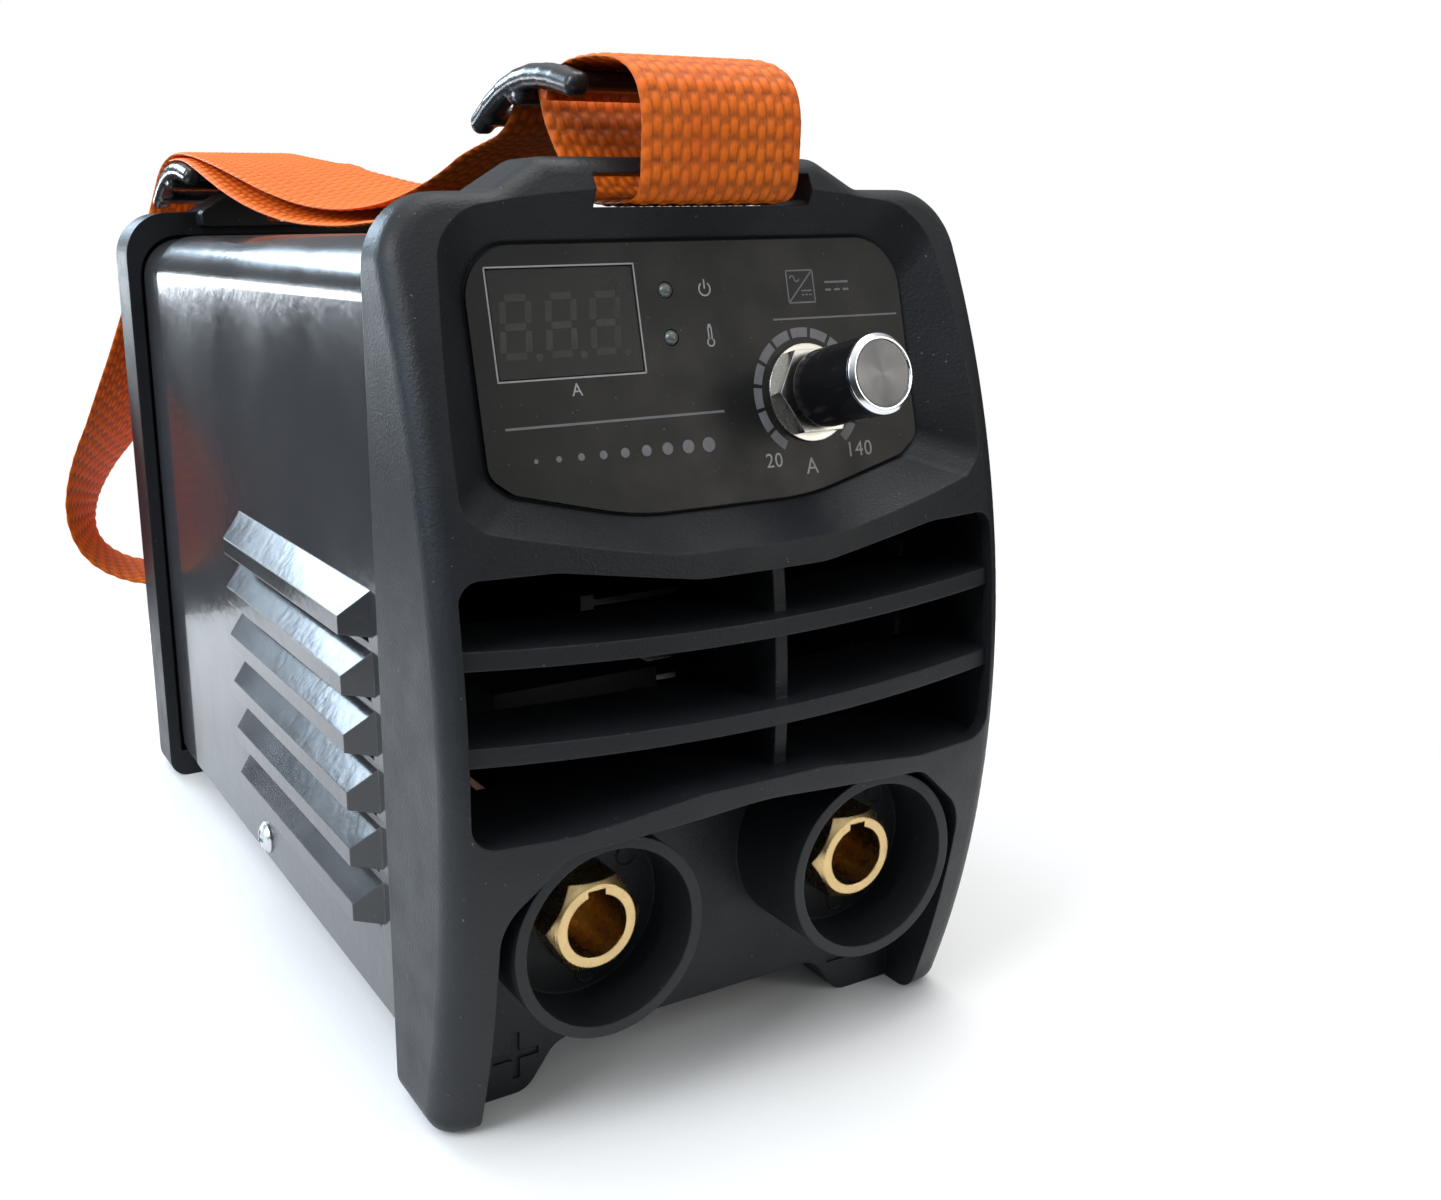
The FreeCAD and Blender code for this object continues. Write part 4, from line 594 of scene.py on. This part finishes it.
REAR_LOOP_ROUTE = [
    (-14.5, 236.0, 189.4, 0, 0), (-13.0, 226.0, 191.0, 0, 0), (-9.5, 215.0, 190.8, 0, 0),
    (-6.5, 206.5, 188.0, 0, 0), (-5.0, 201.8, 183.0, 0, 0), (-4.6, 202.6, 178.4, 0, 0),
    (-4.6, 208.5, 176.9, 0, 0), (-4.6, 222.0, 176.9, 0, 0), (-5.0, 232.5, 177.2, 0, 0),
    (-6.0, 237.5, 179.6, 0, 0),
]
TAIL_ROUTE = [
    (-26.2, 236.0, 192.9, 0, 0), (-26.8, 224.0, 192.9, 0, 0), (-27.4, 210.0, 191.3, 0, 0),
    (-27.4, 192.0, 187.2, -3, 1), (-26.0, 174.0, 182.4, -6, 3), (-23.6, 155.0, 178.0, -8, 4),
    (-20.2, 136.0, 174.8, -10, 4), (-16.6, 118.0, 173.4, -11, 3), (-13.0, 106.0, 173.2, -10, 2),
    (-12.0, 96.0, 173.4, -10, 2),
]
WEBBING_WIDE = 35.0
WEBBING_THICK = 1.35
YARNS = 17                       # warp yarns across the width
FLOAT_LONG = 2.0                 # length of one warp float
RELIEF = 0.42                    # how far a yarn stands over the dips between yarns
WEAVE_STEP = 0.46                # from one row of points along the webbing to the next
COLUMNS_PER_YARN = 4


def spline(points):
    """The smooth line of a NURBS whose control points are given."""
    curve = bpy.data.curves.new("route", "CURVE")
    curve.dimensions = "3D"
    line = curve.splines.new("NURBS")
    line.points.add(len(points) - 1)
    for spot, p in zip(line.points, points):
        spot.co = (*p, 1)
    line.order_u = 3
    line.use_endpoint_u = True
    line.resolution_u = 12
    made = bpy.data.objects.new("route", curve)
    scene.collection.objects.link(made)
    graph = bpy.context.evaluated_depsgraph_get()
    mesh = bpy.data.meshes.new_from_object(made.evaluated_get(graph), depsgraph=graph)
    found = [v.co.copy() for v in mesh.vertices]
    bpy.data.objects.remove(made)
    return found


def evenly(centre, across, step):
    """Both lines sampled at even steps along the first."""
    lengths = [0.0]
    for a, b in zip(centre, centre[1:]):
        lengths.append(lengths[-1] + (b - a).length)
    total = lengths[-1]
    count = max(2, round(total / step))
    spots, sides, i = [], [], 0
    for k in range(count + 1):
        s = total * k / count
        while i < len(lengths) - 2 and lengths[i + 1] < s:
            i += 1
        t = (s - lengths[i]) / max(1e-12, lengths[i + 1] - lengths[i])
        spots.append(centre[i].lerp(centre[i + 1], t))
        sides.append(across[i].lerp(across[i + 1], t).normalized())
    return spots, sides, total


def ribbon(name, route):
    """Woven webbing along a route, with its yarns in relief on both faces."""
    centres = [at(x, y, z) for x, y, z, _, _ in route]
    edges = []
    for (x, y, z, swing, tip), c in zip(route, centres):
        swing, tip = math.radians(swing), math.radians(tip)
        edges.append(c + Vector((math.cos(swing) * math.cos(tip), math.sin(swing) * math.cos(tip),
                                 math.sin(tip))) * 10 * MM)
    line, side_line = spline(centres), spline(edges)
    across = [b - a for a, b in zip(line, side_line)]
    spots, sides, total = evenly(line, across, WEAVE_STEP * MM)
    columns = YARNS * COLUMNS_PER_YARN + 1
    points, relief, uvs = [], [], []
    for k, (spot, side) in enumerate(zip(spots, sides)):
        run = (spots[min(k + 1, len(spots) - 1)] - spots[max(k - 1, 0)]).normalized()
        normal = side.cross(run).normalized()
        side = run.cross(normal).normalized()
        s = total * k / (len(spots) - 1) / MM
        for face in (1, -1):
            for j in range(columns):
                v = j / (columns - 1)
                yarn = min(YARNS - 1, int(v * YARNS))
                local = v * YARNS - yarn
                phase = s / FLOAT_LONG + 0.5 * (yarn % 2) + (0.5 if face < 0 else 0)
                up = 0.5 + 0.5 * math.cos(2 * math.pi * phase * 0.5)
                warp = math.sqrt(max(0.0, 1 - (2 * local - 1) ** 2 * 0.9)) * math.sqrt(up)
                beat = (s / FLOAT_LONG) % 1.0
                weft = math.sqrt(max(0.0, 1 - (2 * beat - 1) ** 2)) * (1 - up) * 0.4
                high = max(warp, weft)
                edge_ease = min(1.0, min(v, 1 - v) * columns / 3)
                lift = (WEBBING_THICK / 2 * (0.55 + 0.45 * edge_ease) - RELIEF + RELIEF * high) * face
                points.append(spot + side * ((v - 0.5) * WEBBING_WIDE * MM) + normal * (lift * MM))
                relief.append(high)
                uvs.append((s * MM, v * WEBBING_WIDE * MM))
    faces = []
    row = 2 * columns
    for k in range(len(spots) - 1):
        a, b = k * row, (k + 1) * row
        for j in range(columns - 1):
            faces.append((a + j, a + j + 1, b + j + 1, b + j))
            c = columns
            faces.append((a + c + j + 1, a + c + j, b + c + j, b + c + j + 1))
        faces.append((a + columns, a, b, b + columns))
        faces.append((a + columns - 1, a + row - 1, b + row - 1, b + columns - 1))
    for k, flip in ((0, False), (len(spots) - 1, True)):
        a = k * row
        for j in range(columns - 1):
            quad = (a + j, a + columns + j, a + columns + j + 1, a + j + 1)
            faces.append(quad[::-1] if flip else quad)
    made = new_piece(name, points, faces, MATERIALS["webbing"], "housing")
    layer = made.data.attributes.new("relief", "FLOAT", "POINT")
    layer.data.foreach_set("value", relief)
    coords = made.data.uv_layers.new(name="weave")
    for loop in made.data.loops:
        coords.data[loop.index].uv = uvs[loop.vertex_index]
    return made, line, total


# ---------------------------------------------------------------- strap buckles

# Y and Z of a slide's arched rails and of its three bars, from its own middle
RAIL = [(-23.0, -0.6), (-17.0, 1.0), (-12.0, 1.9), (-6.0, 2.4), (0.0, 2.0), (6.0, 0.7), (12.0, -1.6),
        (17.6, -4.6)]
BARS = [(-14.0, 0.9), (0.2, -0.6), (14.6, -3.6)]
RAIL_X = 19.7                    # each rail is this far either side of the slide's middle


def buckle(name, place, node):
    """An arched three-bar slide: two rails and three bars, fused and softened."""
    shell = bmesh.new()

    def rod(start, end, wide, high):
        run = end - start
        turn = run.to_track_quat("Z", "Y").to_matrix().to_4x4()
        made = bmesh.ops.create_uvsphere(shell, u_segments=16, v_segments=10, radius=0.5)
        for v in made["verts"]:
            p = v.co.copy()
            p.x, p.y = p.x * high, p.y * wide
            p.z = p.z * min(wide, high) + (run.length / 2 if p.z >= 0 else -run.length / 2)
            v.co = (Matrix.Translation((start + end) / 2) @ turn @ p)

    for x in (-RAIL_X, RAIL_X):
        for (ay, az), (by, bz) in zip(RAIL, RAIL[1:]):
            start, end = Vector((x, ay, az)), Vector((x, by, bz))
            for dx in (-0.6, 0.6):
                rod(start + Vector((dx, 0, 0)), end + Vector((dx, 0, 0)), 5.0, 4.2)
    for y, z in BARS:
        for dy in (-1.2, 1.2):
            rod(Vector((-RAIL_X, y + dy, z)), Vector((RAIL_X, y + dy, z)), 4.0, 4.2)
    mesh = bpy.data.meshes.new(name)
    shell.to_mesh(mesh)
    shell.free()
    mesh.transform(Matrix.Scale(MM, 4))
    mesh.materials.append(MATERIALS["buckle_plastic"])
    made = bpy.data.objects.new(name, mesh)
    scene.collection.objects.link(made)
    fuse = made.modifiers.new("fuse", "REMESH")
    fuse.mode = "VOXEL"
    fuse.voxel_size = 0.42 * MM
    soften = made.modifiers.new("soften", "SMOOTH")
    soften.factor = 0.6
    soften.iterations = 3
    apply_modifiers(made)
    made.data.transform(place)
    made.data.polygons.foreach_set("use_smooth", [True] * len(made.data.polygons))
    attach(made, "housing")
    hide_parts(node)
    return made


def strap():
    front = buckle("front_slide", Matrix.Translation(at(2.5, 47.0, 197.2)), "strap_front_buckle")
    rear = buckle("rear_slide", Matrix.Translation(at(-25, 229.0, 186.6))
                  @ Matrix.Rotation(math.radians(-3), 4, "X"), "strap_rear_buckle")
    loop, _, loop_long = ribbon("rear_webbing", REAR_LOOP_ROUTE)
    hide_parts("strap_rear_loop")
    tail = ribbon("rear_webbing_tail", TAIL_ROUTE)[0]
    main, line, long = ribbon("carrying_webbing", STRAP_ROUTE)
    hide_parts("strap_front_loop", "strap_top_span", "strap_hanging_loop")
    print(f"strap length {long:.3f} m, rear loop {loop_long:.3f} m")


# ---------------------------------------------------------------- small moulded and fitted detail


def ejector_marks():
    """Shallow moulded rings on the floor of the cups round the sockets."""
    points, faces = [], []
    steps, section = 28, 8
    for x in SOCKETS:
        for angle in (38, 158, 278):
            a = math.radians(angle)
            centre = at(x + MARK_REACH * math.cos(a), CUP_FLOOR, SOCKET_Z + MARK_REACH * math.sin(a))
            start = len(points)
            for k in range(steps):
                t = 2 * math.pi * k / steps
                for m in range(section):
                    u = 2 * math.pi * m / section
                    r = 2.2 + 0.28 * math.cos(u)
                    spot = Vector((r * math.cos(t), -0.22 * math.sin(u), r * math.sin(t)))
                    points.append(centre + spot * MM)
            for k in range(steps):
                for m in range(section):
                    n, q = (k + 1) % steps, (m + 1) % section
                    faces.append((start + k * section + m, start + k * section + q,
                                  start + n * section + q, start + n * section + m))
    new_piece("ejector_marks", points, faces, MATERIALS["panel_plastic"], "housing")


def shade_sheets():
    """Dark foam put in as painted shade, to keep the inside of the case dark: a disc between the fan and its
    guard, a sheet behind each set of louvres.
    """
    profile = rounded_profile([(0.01, 0), (SHADE_DISC_RADIUS, 0), (SHADE_DISC_RADIUS, 2.2), (0.01, 2.2)], 0.4)
    axis = Vector((0, 1, 0))
    lathe("fan_shade_disc", at(0, 219.4, FAN_Z), axis, profile, SHADE_FOAM, "housing")
    for side, inner, outer in (("left", -57.4, -58.6), ("right", 57.4, 58.6)):
        edge = ((27, 37), (126, 37), (126, 105), (27, 105))
        corners = [at(x, y, z) for x in (inner, outer) for y, z in edge]
        walls = [(k, (k + 1) % 4, 4 + (k + 1) % 4, 4 + k) for k in range(4)]
        new_piece(f"louvre_shade_sheet_{side}", corners, [(3, 2, 1, 0), (4, 5, 6, 7), *walls], SHADE_FOAM, "housing",
                  smooth=False)


for node in nodes.values():
    for held in node.material_slots:
        held.material = MATERIALS[held.material.name.split(".")[0]]

stage()
knob()
panel_print()
rocker_marks()
ejector_marks()
shade_sheets()
strap()
